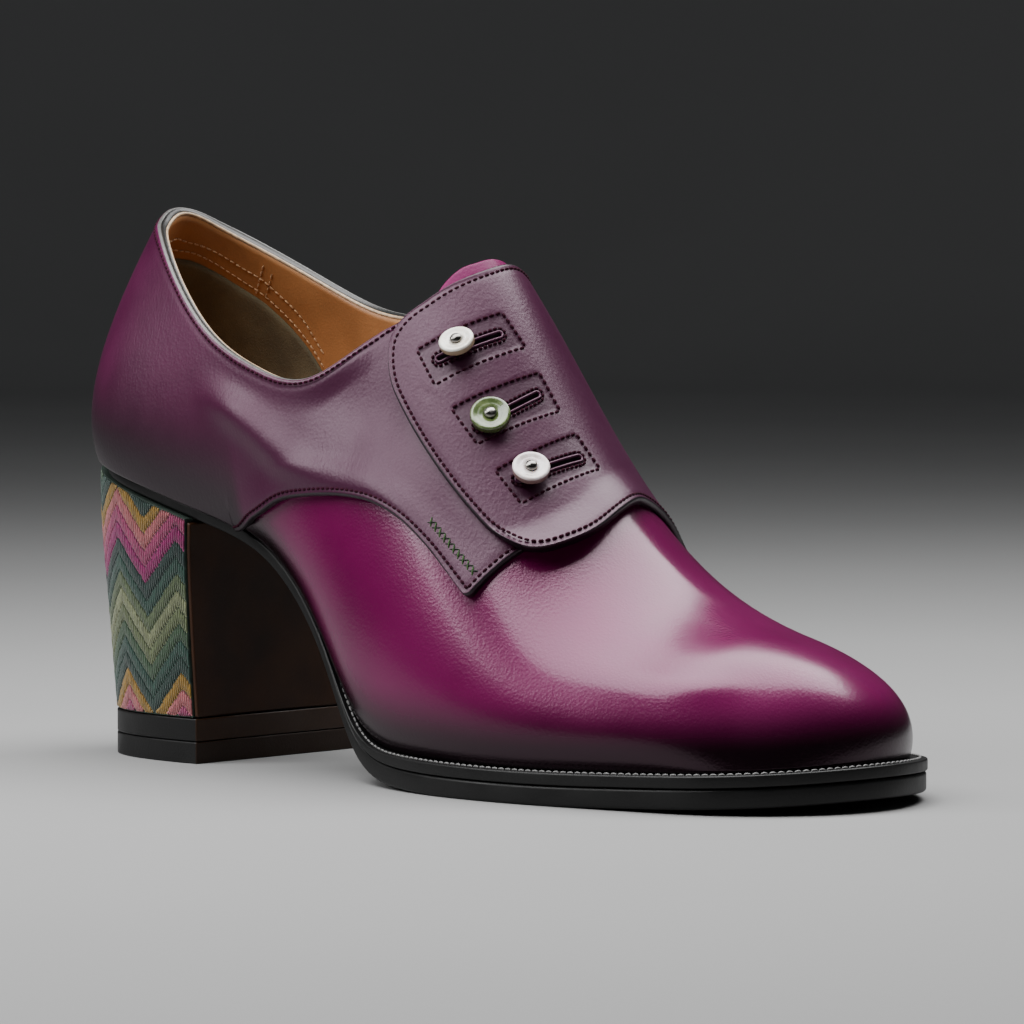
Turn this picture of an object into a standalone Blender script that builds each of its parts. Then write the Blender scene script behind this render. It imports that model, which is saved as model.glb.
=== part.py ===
# Block heel shoe for the right foot: a buttoned wrap pump on a high block heel.
# Tables are in millimetres, the scene in metres. +X is the toe, -Y the outer side, +Z is up.
import math

import bmesh
import bpy
import numpy as np
from mathutils import Matrix, Vector

for old in list(bpy.data.objects):
    bpy.data.objects.remove(old, do_unlink=True)

mm = 0.001
middleX = 119.4  # the tables' zero is the heel's back line, the scene's is the middle of the box
middleY = -0.65


# Columns of a table by their names
def columns(names, rows):
    table = np.array(rows, float)
    return {name: table[:, i] for i, name in enumerate(names.split())}


# Colour, roughness and metal of each piece
magenta = (0.42, 0.0, 0.27)
plum = (0.24, 0.13, 0.21)
blackLeather = (0.02, 0.02, 0.02)
pearl = (0.78, 0.77, 0.74)
greenPearl = (0.55, 0.6, 0.42)
pinMetal = (0.7, 0.7, 0.68)
looks = {
    "upper": (magenta, 0.25, 0),
    "lateral_quarter": (plum, 0.42, 0),
    "medial_quarter": (plum, 0.42, 0),
    "tongue": (magenta, 0.35, 0),
    "insole": ((0.45, 0.32, 0.2), 0.6, 0),
    "welt": ((0.03, 0.03, 0.03), 0.4, 0),
    "outsole": (blackLeather, 0.5, 0),
    "heel_block": ((0.25, 0.3, 0.24), 0.8, 0),
    "heel_breast": ((0.16, 0.11, 0.08), 0.45, 0),
    "heel_lift": (blackLeather, 0.45, 0),
    "top_piece": ((0.03, 0.03, 0.03), 0.6, 0),
    "button_1": (pearl, 0.25, 0),
    "button_2": (greenPearl, 0.25, 0),
    "button_3": (pearl, 0.25, 0),
    "button_pin_1": (pinMetal, 0.25, 1),
    "button_pin_2": (pinMetal, 0.25, 1),
    "button_pin_3": (pinMetal, 0.25, 1),
}

# Leather, gaps and plates
wall = 1.6  # vamp leather with its lining
overlay = 1.4  # quarter leather that lies on the upper
gap = 0.35  # left between curved pieces
plateGap = 0.15  # left between flat plates
insoleThick = 1.9
insoleLift = 0.15  # from the upper's edge up to the insole
insoleInset = 2.4  # from the upper's edge to the insole's edge
soleInset = 0.3  # from the welt's edge to the outsole's
treadFlat = 0.1  # where the outsole would be lower than this it lies flat on the ground
tongueThick = 1.5

# Sections of the last, one in each row of the three tables. A section starts from a station on the
# centre line and looks outwards at the angle "turn" (180 is the back of the heel, 0 the toe). It
# rises from the edge over the sole, at the height "foot", through a bulge and a shoulder to the
# ridge. Outer and inner sides have their own columns.
baseTable = columns("x y turn edgeOut edgeIn footOut footIn bulgeOut bulgeIn rise", [
    [30, 0, 180, 29.0, 29.0, 76.0, 76.0, 6.5, 6.5, 16],
    [30, 0, 140, 28.5, 28.5, 74.0, 74.0, 6.5, 6.5, 16],
    [32, 0, 105, 28.0, 28.0, 69.5, 69.5, 7.0, 7.0, 17],
    [50, 0, 90, 27.0, 26.0, 62.5, 62.5, 9.0, 9.0, 18],
    [70, 0, 90, 25.5, 23.0, 54.5, 55.5, 12.0, 11.0, 17],
    [89, 0, 90, 26.0, 22.5, 35.4, 38.0, 14.0, 12.0, 18],
    [108, 0, 90, 31.5, 26.0, 13.8, 17.0, 14.0, 13.0, 20],
    [129, 0, 90, 38.0, 33.5, 8.4, 9.2, 11.0, 11.0, 20],
    [152, 0, 90, 41.5, 39.0, 8.0, 8.0, 8.0, 8.0, 19],
    [177, 0, 90, 40.0, 40.2, 8.0, 8.0, 8.0, 6.0, 17],
    [197, 1, 82, 36.8, 37.6, 8.7, 8.7, 6.0, 4.5, 15],
    [200, 1, 55, 36.2, 37.0, 9.5, 9.5, -1.0, 3.5, 14],
    [200, 1, 25, 36.7, 37.0, 10.4, 10.4, -0.5, 3.5, 14],
    [200, 1, 0, 37.0, 37.0, 10.8, 10.8, 2.0, 2.0, 14],
])
# Shoulder and its height ("crown"), and the ridge. "round" rounds the ridge, "collar" is the share of
# the girth left at the edge.
crownTable = columns("shoulderOut shoulderIn crownOut crownIn top topZ round collarOut collarIn", [
    [22.3, 22.3, 119, 119, 4.5, 151, 0, 0.820, 0.820],
    [22.5, 22.5, 117, 117, 0.5, 155.5, 0, 0.775, 0.775],
    [23.0, 23.0, 115, 115, 2.4, 156, 0, 0.730, 0.730],
    [27.0, 29.0, 111, 111, 10, 160, 0, 0.580, 0.630],
    [30.0, 29.0, 109, 109, 13, 158, 0, 0.530, 0.620],
    [32.0, 32.0, 109, 109, 9, 160, 4, 0.566, 0.662],
    [34.0, 33.0, 108, 108, 0, 150, 10, 0.707, 0.755],
    [34.0, 31.0, 95, 95, 0, 123, 10, 0.865, 0.865],
    [32.0, 28.0, 71, 71, 0, 83, 9, 1, 1],
    [28.5, 27.0, 46.5, 50, 0, 54, 8, 1, 1],
    [27.5, 25.5, 38, 39, 0, 42, 4, 1, 1],
    [25.5, 26.0, 37, 35.5, 0, 40.5, 0, 1, 1],
    [27.0, 27.0, 35, 33, 0, 40.5, 0, 1, 1],
    [27.5, 27.5, 33.5, 33.5, 0, 40.5, 0, 1, 1],
])
# Sole: how far the welt stands out, and the thickness of welt and outsole
soleTable = columns("ledge welt sole", [
    [-0.3, 0.0, 3.1],
    [-0.3, 0.0, 3.1],
    [-0.3, 0.0, 3.1],
    [0.3, 0.0, 3.1],
    [-0.5, 0.1, 3.6],
    [0.5, 0.7, 4.0],
    [2.5, 1.6, 4.4],
    [3.8, 2.6, 4.7],
    [4.0, 2.8, 4.7],
    [4.0, 2.8, 4.7],
    [4.0, 2.8, 4.7],
    [4.0, 2.8, 4.7],
    [4.0, 2.8, 4.7],
    [4.2, 2.8, 4.7],
])
toeRow = len(baseTable["x"]) - 1
ringLength = 2 * toeRow  # sections run along the outer side to the toe and back along the inner side
archRow = 5.0  # the welt starts here
ridgeRow = 6.0  # both sides meet on the ridge from here
throatRow = 8.0  # the upper is closed over the foot from here
levelRow = 10.0  # the sole's middle rises no further from here to the toe
toeFanRow = 11.0  # sections turn about one point from here
toeLimit = 0.97  # directions are taken short of the toe's point, where the sections meet
heelFan = 32.0  # plates spread from the middle line, from one point round the heel and one at the toe
toeFan = 200.0
seatBack = 76.3  # height of the heel seat at x = 0
seatSlope = 0.2755
seatEnd = 51.0  # and it is flat up to here

# Strips of quarter leather. A row pairs a point of the top edge with one of the lower edge, each by
# section number and share of the girth. On the inner strip a share over 1 has crossed the ridge.
outerStrip = columns("topSection topShare lowSection lowShare", [
    [0.0, 0.820, 0.0, 0.0],
    [1.0, 0.775, 1.0, 0.0],
    [2.0, 0.730, 2.0, 0.0],
    [3.0, 0.580, 3.0, 0.0],
    [3.6, 0.536, 3.65, 0.0],
    [4.2, 0.530, 4.2, 0.160],
    [4.7, 0.544, 4.7, 0.297],
    [5.2, 0.588, 5.2, 0.385],
    [5.77, 0.670, 5.75, 0.450],
    [6.1, 0.723, 6.3, 0.486],
    [6.5, 0.800, 6.8, 0.497],
    [7.0, 0.855, 7.25, 0.490],
    [7.5, 0.870, 7.58, 0.474],
    [8.42, 0.790, 7.90, 0.452],
])
innerStrip = columns("topSection topShare lowSection lowShare", [
    [0.0, 0.820, 0.0, 0.0],
    [1.0, 0.775, 1.0, 0.0],
    [2.0, 0.730, 2.0, 0.0],
    [3.0, 0.630, 3.0, 0.0],
    [3.7, 0.614, 3.65, 0.0],
    [4.4, 0.631, 4.5, 0.240],
    [5.0, 0.662, 5.3, 0.400],
    [5.5, 0.705, 6.1, 0.475],
    [5.9, 0.745, 7.0, 0.505],
    [6.2, 0.778, 8.1, 0.500],
    [6.42, 0.815, 8.22, 0.640],
    [6.62, 0.875, 8.32, 0.790],
    [6.76, 0.950, 8.43, 0.930],
    [6.80, 1.030, 8.53, 1.060],
    [6.72, 1.100, 8.55, 1.170],
    [6.50, 1.187, 8.45, 1.274],
    [6.28, 1.255, 8.30, 1.342],
    [6.20, 1.318, 8.05, 1.387],
])
flapBow = 0.028  # the flap's free end curves out by this share of the girth
flapBowFrom = 0.75  # the bow starts at this share of the strip's length
flapRiseFrom = 0.88  # the flap climbs onto the outer quarter between these shares of the girth
flapRiseTo = 1.11

# Tongue: half width as a share of the girth, depth of its face under the upper's face
tongueTable = columns("section half depth", [
    [6.62, 0.120, 0.4],
    [6.66, 0.150, 0.5],
    [6.74, 0.155, 1.3],
    [6.90, 0.150, 2.4],
    [7.30, 0.140, 2.4],
    [7.70, 0.145, 2.4],
    [8.20, 0.150, 2.4],
    [8.60, 0.160, 2.4],
])

# Block heel: share of its height, back line, half width, front line
heelTable = columns("share back half front", [
    [0.0, 6.0, 27.8, 48.2],
    [0.4, 3.3, 28.0, 46.9],
    [0.8, 0.6, 28.4, 46.2],
    [1.0, 0.2, 28.4, 46.2],
])
heelPower = 2.6  # 2 is an ellipse, more is squarer
heelFoot = 11.3  # the block starts here, over the lifts
heelHollow = 1.0  # the front face curves in by this much
breastThick = 1.1
breastInset = 0.3  # from the block's front corners to the breast's edges
breastDrop = 0.8  # from the block's top down to the breast's
topPieceTop = 5.3
liftBottom = 5.5
liftTop = 11.0
liftEdge = 0.3  # the lifts stand out past the block

# Buttons: where each one sits, and the far end of its hole
buttonTable = columns("section share endSection endShare", [
    [6.97, 0.796, 7.18, 0.888],
    [7.47, 0.768, 7.63, 0.902],
    [7.94, 0.776, 8.09, 0.922],
])
slotWidth = 2.4
slotBehind = 1.6  # the hole runs this far behind the pin
slotUnder = 0.25  # the cutter reaches this far under the flap
slotOver = 4.0  # and this far over it
buttonProfile = [(1.15, 0.0), (3.95, 0.0), (4.5, 0.6), (4.5, 1.5), (4.05, 2.0), (2.8, 1.7), (1.15, 1.7)]
pinRadius = 0.95
pinHead = 1.75
pinHeadHeight = 1.1
pinClear = 0.1  # from the outer quarter up to the pin

# Facets
perSection = 3  # from one section to the next
upperLevels = 11
quarterLevels = 9
outerSteps = 40
innerSteps = 48
tongueSteps = 15
tongueAcross = 11
insoleAcross = 5
soleAcross = 7
heelLevels = 7
heelTurns = 25
heelAcross = 9
slotTurns = 7
turnSteps = 16
weld = 0.02  # points this near are joined
sharpAngle = math.radians(35)


# One closed spline through the sections, round the shoe
def ringTable():
    column = {**baseTable, **crownTable, **soleTable}
    middle = 0.5 * (column["shoulderOut"] + column["shoulderIn"])
    column["slope"] = (column["topZ"] - column["crownIn"]) / (middle - column["top"])
    sides = {}
    for side, sign in (("Out", -1), ("In", 1)):
        picked = {"angle": sign * column["turn"]}
        for name in "x y rise top topZ round slope ledge welt sole".split():
            picked[name] = column[name]
        for name in "edge foot bulge shoulder crown collar".split():
            picked[name] = column[name + side]
        sides[side] = picked
    joined = {}
    for name in sides["Out"]:
        joined[name] = np.concatenate([sides["Out"][name], sides["In"][name][toeRow - 1:0:-1]])
    joined["angle"] = joined["angle"] - (-180 + 360 * np.arange(ringLength) / ringLength)
    return joined


def ringCurvature(values):
    count = len(values)
    system = 4 * np.eye(count) + np.roll(np.eye(count), 1, 0) + np.roll(np.eye(count), -1, 0)
    bend = 6 * (np.roll(values, -1) - 2 * values + np.roll(values, 1))
    return np.linalg.solve(system, bend)


ring = ringTable()
ringBend = {name: ringCurvature(values) for name, values in ring.items()}


def ringValue(name, v):
    low = np.floor(v).astype(int)
    f = v - low
    i = low % ringLength
    j = (low + 1) % ringLength
    values, bend = ring[name], ringBend[name]
    curve = ((1 - f) ** 3 - (1 - f)) * bend[i] + (f ** 3 - f) * bend[j]
    return (1 - f) * values[i] + f * values[j] + curve / 6


# All values of the section at ring place v. Those on the centre line are the same for both sides.
def section(v):
    v = np.asarray(v, float)
    out = {}
    for name in ring:
        out[name] = ringValue(name, v)
    out["angle"] = np.radians(out["angle"] - 180 + 360 * v / ringLength)
    fromHeel = toeRow - np.abs(v % ringLength - toeRow)
    for name in ("x", "y", "top", "topZ", "round", "slope"):
        out[name] = ringValue(name, np.minimum(fromHeel, toeFanRow))
    out["top"] = np.where(fromHeel < ridgeRow, np.maximum(out["top"], 0), 0)
    out["round"] = np.maximum(out["round"], 0)
    out["collar"] = np.where(fromHeel < throatRow, np.minimum(out["collar"], 1), 1)
    return out


def smooth(x, low, high):
    f = np.clip((x - low) / (high - low), 0, 1)
    return f * f * (3 - 2 * f)


# Point of the last at ring place v and girth share t. The ridge is rounded by replacing the radius r
# with sqrt(r*r + round*round) in the part of the height that falls away from it.
def last(v, t):
    v, t = np.broadcast_arrays(np.asarray(v, float), np.asarray(t, float))
    s = section(v)
    b0, b1, b2, b3 = (1 - t) ** 3, 3 * (1 - t) ** 2 * t, 3 * (1 - t) * t ** 2, t ** 3
    r = b0 * s["edge"] + b1 * (s["edge"] + s["bulge"]) + b2 * s["shoulder"] + b3 * s["top"]
    z = b0 * s["foot"] + b1 * (s["foot"] + s["rise"]) + b2 * s["crown"] + b3 * s["topZ"]
    z = z - s["slope"] * (np.sqrt(r * r + s["round"] ** 2) - r) * smooth(t, 0, 0.5)
    return np.stack([s["x"] + r * np.cos(s["angle"]), s["y"] + r * np.sin(s["angle"]), z], -1)


def outward(v, t):
    step = 1e-3
    near = np.minimum(t, toeLimit)
    along = last(v + step, near) - last(v - step, near)
    up = last(v, np.minimum(t + step, 1)) - last(v, np.maximum(t - step, 0))
    normal = np.cross(along, up)
    return normal / np.linalg.norm(normal, axis=-1, keepdims=True)


# Point at a height over the last's face
def onLast(v, t, height):
    v, t = np.broadcast_arrays(np.asarray(v, float), np.asarray(t, float))
    return last(v, t) + outward(v, t) * np.asarray(height, float)[..., None]


# The same by section number and share from the inner edge, over the ridge, to the outer edge
def overRidge(u, w, height):
    u, w = np.broadcast_arrays(np.asarray(u, float), np.asarray(w, float))
    v = np.where(w > 1, u, ringLength - u)
    t = np.where(w > 1, 2 - w, w)
    return onLast(v, t, height)


# Smooth curve through the rows of a table, by row number
def throughRows(table, place):
    rows = np.stack(list(table.values()), 1)
    padded = np.vstack([2 * rows[0] - rows[1], rows, 2 * rows[-1] - rows[-2]])
    i = np.minimum(np.floor(place).astype(int), len(rows) - 2)
    f = (place - i)[:, None]
    a, b, c, d = padded[i], padded[i + 1], padded[i + 2], padded[i + 3]
    square = 2 * a - 5 * b + 4 * c - d
    cube = 3 * b - a - 3 * c + d
    curve = 0.5 * (2 * b + (c - a) * f + square * f ** 2 + cube * f ** 3)
    return {name: curve[:, i] for i, name in enumerate(table)}


# Scene helpers
shoe = bpy.data.collections.new("block_heel_shoe")
cutters = bpy.data.collections.new("cutters")
bpy.context.scene.collection.children.link(shoe)
bpy.context.scene.collection.children.link(cutters)


def toScene(points):
    return (np.asarray(points) - [middleX, middleY, 0]) * mm


def material(name):
    colour, roughness, metallic = looks[name]
    made = bpy.data.materials.new(name)
    made.use_nodes = True
    shader = made.node_tree.nodes["Principled BSDF"]
    shader.inputs["Base Color"].default_value = (*colour, 1)
    shader.inputs["Roughness"].default_value = roughness
    shader.inputs["Metallic"].default_value = metallic
    made.diffuse_color = (*colour, 1)
    return made


def addPiece(name, mesh):
    mesh.materials.append(material(name))
    mesh.shade_smooth()
    mesh.set_sharp_from_angle(angle=sharpAngle)
    piece = bpy.data.objects.new(name, mesh)
    shoe.objects.link(piece)
    return piece


def finishMesh(name, build):
    bmesh.ops.remove_doubles(build, verts=build.verts, dist=weld * mm)
    bmesh.ops.recalc_face_normals(build, faces=build.faces)
    mesh = bpy.data.meshes.new(name)
    build.to_mesh(mesh)
    build.free()
    return mesh


# Faces of a grid of points, welded where its rows come together
def gridMesh(name, points, closed=False, caps=False):
    rows, across = points.shape[:2]
    build = bmesh.new()
    verts = [build.verts.new(p) for p in toScene(points).reshape(-1, 3)]
    for i in range(rows - 1):
        for j in range(across if closed else across - 1):
            k = (j + 1) % across
            build.faces.new([verts[i * across + j], verts[(i + 1) * across + j],
                             verts[(i + 1) * across + k], verts[i * across + k]])
    if caps:
        build.faces.new(verts[:across])
        build.faces.new(verts[-across:][::-1])
    return finishMesh(name, build)


# A wall under an open surface whose middle face looks to "facing"
def shell(name, points, thick, facing):
    mesh = gridMesh(name, points)
    middle = mesh.polygons[len(mesh.polygons) // 2]
    if middle.normal.dot(Vector(facing)) < 0:
        mesh.flip_normals()
    piece = addPiece(name, mesh)
    solid = piece.modifiers.new("thickness", "SOLIDIFY")
    solid.thickness = thick * mm
    solid.offset = -1
    solid.use_even_offset = True
    return piece


# Upper: one wall round the foot, open at the collar and underneath
def makeUpper():
    v = np.linspace(0, ringLength, perSection * ringLength + 1)[:, None]
    t = section(v)["collar"] * np.linspace(0, 1, upperLevels)[None, :]
    shell("upper", onLast(v, t, np.zeros_like(t)), wall, (1, 0, 0))


# Section number and girth share over a strip, with the shares of its length and height
def strip(table, steps):
    lastRow = len(table["topShare"]) - 1
    place = np.linspace(0, lastRow, steps)
    edge = {name: value[:, None] for name, value in throughRows(table, place).items()}
    height = np.linspace(0, 1, quarterLevels)[None, :]
    u = edge["lowSection"] + (edge["topSection"] - edge["lowSection"]) * height
    w = edge["lowShare"] + (edge["topShare"] - edge["lowShare"]) * height
    return np.maximum(u, 0), np.maximum(w, 0), place[:, None] / lastRow, height


def makeOuterQuarter():
    u, t, length, height = strip(outerStrip, outerSteps)
    points = onLast(u, t, np.full_like(t, gap + overlay))
    points[0, :, 1] -= gap  # back seam
    shell("lateral_quarter", points, overlay, (0, -1, 0))


def makeInnerQuarter():
    u, w, length, height = strip(innerStrip, innerSteps)
    w = w + flapBow * 4 * height * (1 - height) * smooth(length, flapBowFrom, 1)
    climb = smooth(w, flapRiseFrom, flapRiseTo) * (overlay + gap)
    points = overRidge(u, w, gap + overlay + climb)
    points[0, :, 1] += gap  # back seam
    flap = shell("medial_quarter", points, overlay, (0, 1, 0.2))
    cut = flap.modifiers.new("buttonholes", "BOOLEAN")
    cut.operation = "DIFFERENCE"
    cut.solver = "EXACT"
    cut.object = makeSlotCutter()


# Frame on the flap at a button: foot of the pin, direction of the hole, across it, outwards, and
# the hole's length
def buttonFrame(i):
    v = np.array([buttonTable["section"][i], buttonTable["endSection"][i]])
    t = np.array([buttonTable["share"][i], buttonTable["endShare"][i]])
    foot, end = onLast(v, t, np.full(2, 2 * (gap + overlay)))
    out = outward(v, t)[0]
    run = end - foot
    length = np.linalg.norm(run)
    run = run - out * run.dot(out)
    run = run / np.linalg.norm(run)
    return foot, run, np.cross(out, run), out, length


def makeSlotCutter():
    build = bmesh.new()
    half = 0.5 * slotWidth
    turns = np.linspace(-0.5 * math.pi, 0.5 * math.pi, slotTurns)
    for i in range(len(buttonTable["section"])):
        foot, run, across, out, length = buttonFrame(i)
        far = [(length + half * math.cos(a), half * math.sin(a)) for a in turns]
        near = [(-slotBehind - half * math.cos(a), -half * math.sin(a)) for a in turns]
        outline = [foot + run * x + across * y for x, y in far + near]
        lower = [build.verts.new(toScene(p - out * (overlay + slotUnder))) for p in outline]
        upper = [build.verts.new(toScene(p + out * slotOver)) for p in outline]
        build.faces.new(lower[::-1])
        build.faces.new(upper)
        for j in range(len(outline)):
            k = (j + 1) % len(outline)
            build.faces.new([lower[j], lower[k], upper[k], upper[j]])
    cutter = bpy.data.objects.new("slot_cutter", finishMesh("slot_cutter", build))
    cutters.objects.link(cutter)
    cutter.hide_render = True
    cutter.display_type = "WIRE"
    return cutter


def makeTongue():
    place = np.linspace(0, len(tongueTable["section"]) - 1, tongueSteps)
    row = {name: value[:, None] for name, value in throughRows(tongueTable, place).items()}
    across = np.linspace(-1, 1, tongueAcross)[None, :]
    depth = np.broadcast_to(row["depth"], (tongueSteps, tongueAcross))
    shell("tongue", overRidge(row["section"], 1 + row["half"] * across, -depth), tongueThick, (0.5, 0, 1))


# Height of the heel seat
def seat(x):
    return seatBack - seatSlope * x


# A plate under the foot, from section "start" to the toe. "grow" takes its outline out from the
# edge of the last, "top" and "bottom" give its faces from the height of the edge.
def plate(name, start, grow, top, bottom, across):
    u = np.linspace(start, toeRow, int(toeRow - start) * perSection + 1)
    share = np.linspace(1, 0, across // 2 + 1)[None, :]
    level = np.minimum(u, levelRow)
    middle = 0.5 * (section(level)["foot"] + section(ringLength - level)["foot"])[:, None]
    faces = []
    for v in (u, ringLength - u):
        s = {key: value[:, None] for key, value in section(v).items()}
        reach = s["edge"] + grow(s)
        edgeX = s["x"] + reach * np.cos(s["angle"])
        edgeY = s["y"] + reach * np.sin(s["angle"])
        spineX = np.clip(s["x"], heelFan, toeFan)
        x = spineX + (edgeX - spineX) * share
        y = edgeY * share
        spine = np.where(spineX <= seatEnd, seat(spineX), middle)
        foot = np.where(x <= seatEnd, seat(x), spine + (s["foot"] - spine) * share)
        faces.append([np.stack([x, y, face(s, foot)], -1) for face in (top, bottom)])
    (outTop, outBottom), (inTop, inBottom) = faces
    upperFace = np.concatenate([outTop, inTop[:, -2::-1]], 1)
    lowerFace = np.concatenate([outBottom, inBottom[:, -2::-1]], 1)
    around = np.concatenate([upperFace, lowerFace[:, ::-1]], 1)
    addPiece(name, gridMesh(name, around, closed=True, caps=start > 0))


def insoleTop(s, foot):
    return foot + insoleLift + insoleThick


def insoleBottom(s, foot):
    return foot + insoleLift


def weltTop(s, foot):
    return foot - gap


def weltBottom(s, foot):
    return foot - gap - s["welt"]


def soleTop(s, foot):
    return weltBottom(s, foot) - plateGap


def soleBottom(s, foot):
    low = soleTop(s, foot) - s["sole"]
    return np.where(low < treadFlat, 0, low)


def makeSole():
    plate("insole", 0, lambda s: -insoleInset, insoleTop, insoleBottom, insoleAcross)
    plate("welt", archRow, lambda s: s["ledge"], weltTop, weltBottom, soleAcross)
    plate("outsole", 0, lambda s: s["ledge"] - soleInset, soleTop, soleBottom, soleAcross)


# Outline of the heel at one share of its height, from the outer front corner round the back
def heelOutline(share, grow=0.0):
    place = np.interp(share, heelTable["share"], np.arange(len(heelTable["share"])))
    row = throughRows(heelTable, np.array([place]))
    front, half = row["front"], row["half"] + grow
    depth = front - row["back"] + grow
    turn = np.radians(np.linspace(-90, 90, heelTurns))
    x = front - depth * np.cos(turn) ** (2 / heelPower)
    y = half * np.sign(np.sin(turn)) * np.abs(np.sin(turn)) ** (2 / heelPower)
    return x, y, front, half


def heelTop(x):
    return seat(x) - gap - plateGap - soleTable["sole"][0] - gap


def makeHeel():
    rings = []
    covers = []
    for share in np.linspace(0, 1, heelLevels):
        x, y, front, half = heelOutline(share)
        inner = np.linspace(half, -half, heelAcross)[1:-1, 0]
        x = np.concatenate([x, front - heelHollow * (1 - (inner / half) ** 2)])
        y = np.concatenate([y, inner])
        rings.append(np.stack([x, y, heelFoot + share * (heelTop(x) - heelFoot)], -1))
        side = np.linspace(breastInset - half, half - breastInset, heelAcross)[:, 0]
        face = front + gap - heelHollow * (1 - (side / half) ** 2)
        x = np.concatenate([face, face[::-1] + breastThick])
        y = np.concatenate([side, side[::-1]])
        covers.append(np.stack([x, y, heelFoot + share * (heelTop(x) - breastDrop - heelFoot)], -1))
    addPiece("heel_block", gridMesh("heel_block", np.array(rings), True, True))
    addPiece("heel_breast", gridMesh("heel_breast", np.array(covers), True, True))
    x, y, front, half = heelOutline(0.0, liftEdge)
    face = front + gap + breastThick
    x = np.concatenate([face, x, face])
    y = np.concatenate([-half, y, half])
    for name, low, high in (("heel_lift", liftBottom, liftTop), ("top_piece", 0, topPieceTop)):
        rings = [np.stack([x, y, np.full_like(x, z)], -1) for z in (low, high)]
        addPiece(name, gridMesh(name, np.array(rings), True, True))


# A profile of radius and height turned about the piece's own axis
def turned(name, profile, closed, place):
    mesh = bpy.data.meshes.new(name)
    points = [(r * mm, 0, z * mm) for r, z in profile]
    edges = [(i, i + 1) for i in range(len(points) - 1)]
    if closed:
        edges.append((len(points) - 1, 0))
    mesh.from_pydata(points, edges, [])
    piece = addPiece(name, mesh)
    screw = piece.modifiers.new("turn", "SCREW")
    screw.axis = "Z"
    screw.steps = turnSteps
    screw.render_steps = turnSteps
    screw.use_merge_vertices = True
    screw.merge_threshold = weld * mm
    screw.use_normal_calculate = True
    screw.use_normal_flip = not closed
    piece.matrix_world = place


def makeButtons():
    under = buttonProfile[-1][1] + plateGap
    low = pinClear - (gap + overlay)
    dome = [(pinHead * math.cos(a), under + pinHeadHeight * math.sin(a)) for a in np.radians([0, 30, 60])]
    pinProfile = [(0, low), (pinRadius, low), (pinRadius, under), *dome, (0, under + pinHeadHeight)]
    for i in range(len(buttonTable["section"])):
        foot, run, across, out, length = buttonFrame(i)
        turn = Matrix((run, across, out)).transposed().to_4x4()
        place = Matrix.Translation(toScene(foot + out * gap)) @ turn
        turned("button_%d" % (i + 1), buttonProfile, True, place)
        turned("button_pin_%d" % (i + 1), pinProfile, False, place)


makeUpper()
makeOuterQuarter()
makeInnerQuarter()
makeTongue()
makeSole()
makeHeel()
makeButtons()
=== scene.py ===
import bpy
import bmesh
import numpy as np
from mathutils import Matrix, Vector


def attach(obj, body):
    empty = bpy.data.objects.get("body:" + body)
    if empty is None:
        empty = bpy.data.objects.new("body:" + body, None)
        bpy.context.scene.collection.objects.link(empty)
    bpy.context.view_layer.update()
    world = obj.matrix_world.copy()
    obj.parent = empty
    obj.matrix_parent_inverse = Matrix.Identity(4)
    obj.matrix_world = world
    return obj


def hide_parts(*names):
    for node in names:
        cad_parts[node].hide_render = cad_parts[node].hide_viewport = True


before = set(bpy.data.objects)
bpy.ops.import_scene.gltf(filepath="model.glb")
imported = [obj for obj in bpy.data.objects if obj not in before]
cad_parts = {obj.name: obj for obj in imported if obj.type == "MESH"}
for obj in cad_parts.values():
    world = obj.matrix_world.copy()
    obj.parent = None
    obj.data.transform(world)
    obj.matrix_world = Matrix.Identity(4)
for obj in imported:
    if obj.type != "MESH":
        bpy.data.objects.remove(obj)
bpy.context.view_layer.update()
origin = np.array([119.4, -0.65, 0.0])  # the frame's origin in these tables
print("frame loaded:", len(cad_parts), "nodes")


def toMetres(points):
    return (np.asarray(points, float) - origin) * 0.001


def columns(names, rows):
    table = np.array(rows, float)
    return {name: table[:, i] for i, name in enumerate(names.split())}


# The last: one section in each row, from the back of the heel (turn 180) to the toe (turn 0).
# A section rises from the edge over the sole through a bulge and a shoulder to the ridge.
baseTable = columns("x y turn edgeOut edgeIn footOut footIn bulgeOut bulgeIn rise", [
    [30, 0, 180, 29.0, 29.0, 76.0, 76.0, 6.5, 6.5, 16],
    [30, 0, 140, 28.5, 28.5, 74.0, 74.0, 6.5, 6.5, 16],
    [32, 0, 105, 28.0, 28.0, 69.5, 69.5, 7.0, 7.0, 17],
    [50, 0, 90, 27.0, 26.0, 62.5, 62.5, 9.0, 9.0, 18],
    [70, 0, 90, 25.5, 23.0, 54.5, 55.5, 12.0, 11.0, 17],
    [89, 0, 90, 26.0, 22.5, 35.4, 38.0, 14.0, 12.0, 18],
    [108, 0, 90, 31.5, 26.0, 13.8, 17.0, 14.0, 13.0, 20],
    [129, 0, 90, 38.0, 33.5, 8.4, 9.2, 11.0, 11.0, 20],
    [152, 0, 90, 41.5, 39.0, 8.0, 8.0, 8.0, 8.0, 19],
    [177, 0, 90, 40.0, 40.2, 8.0, 8.0, 8.0, 6.0, 17],
    [197, 1, 82, 36.8, 37.6, 8.7, 8.7, 6.0, 4.5, 15],
    [200, 1, 55, 36.2, 37.0, 9.5, 9.5, -1.0, 3.5, 14],
    [200, 1, 25, 36.7, 37.0, 10.4, 10.4, -0.5, 3.5, 14],
    [200, 1, 0, 37.0, 37.0, 10.8, 10.8, 2.0, 2.0, 14],
])
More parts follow.
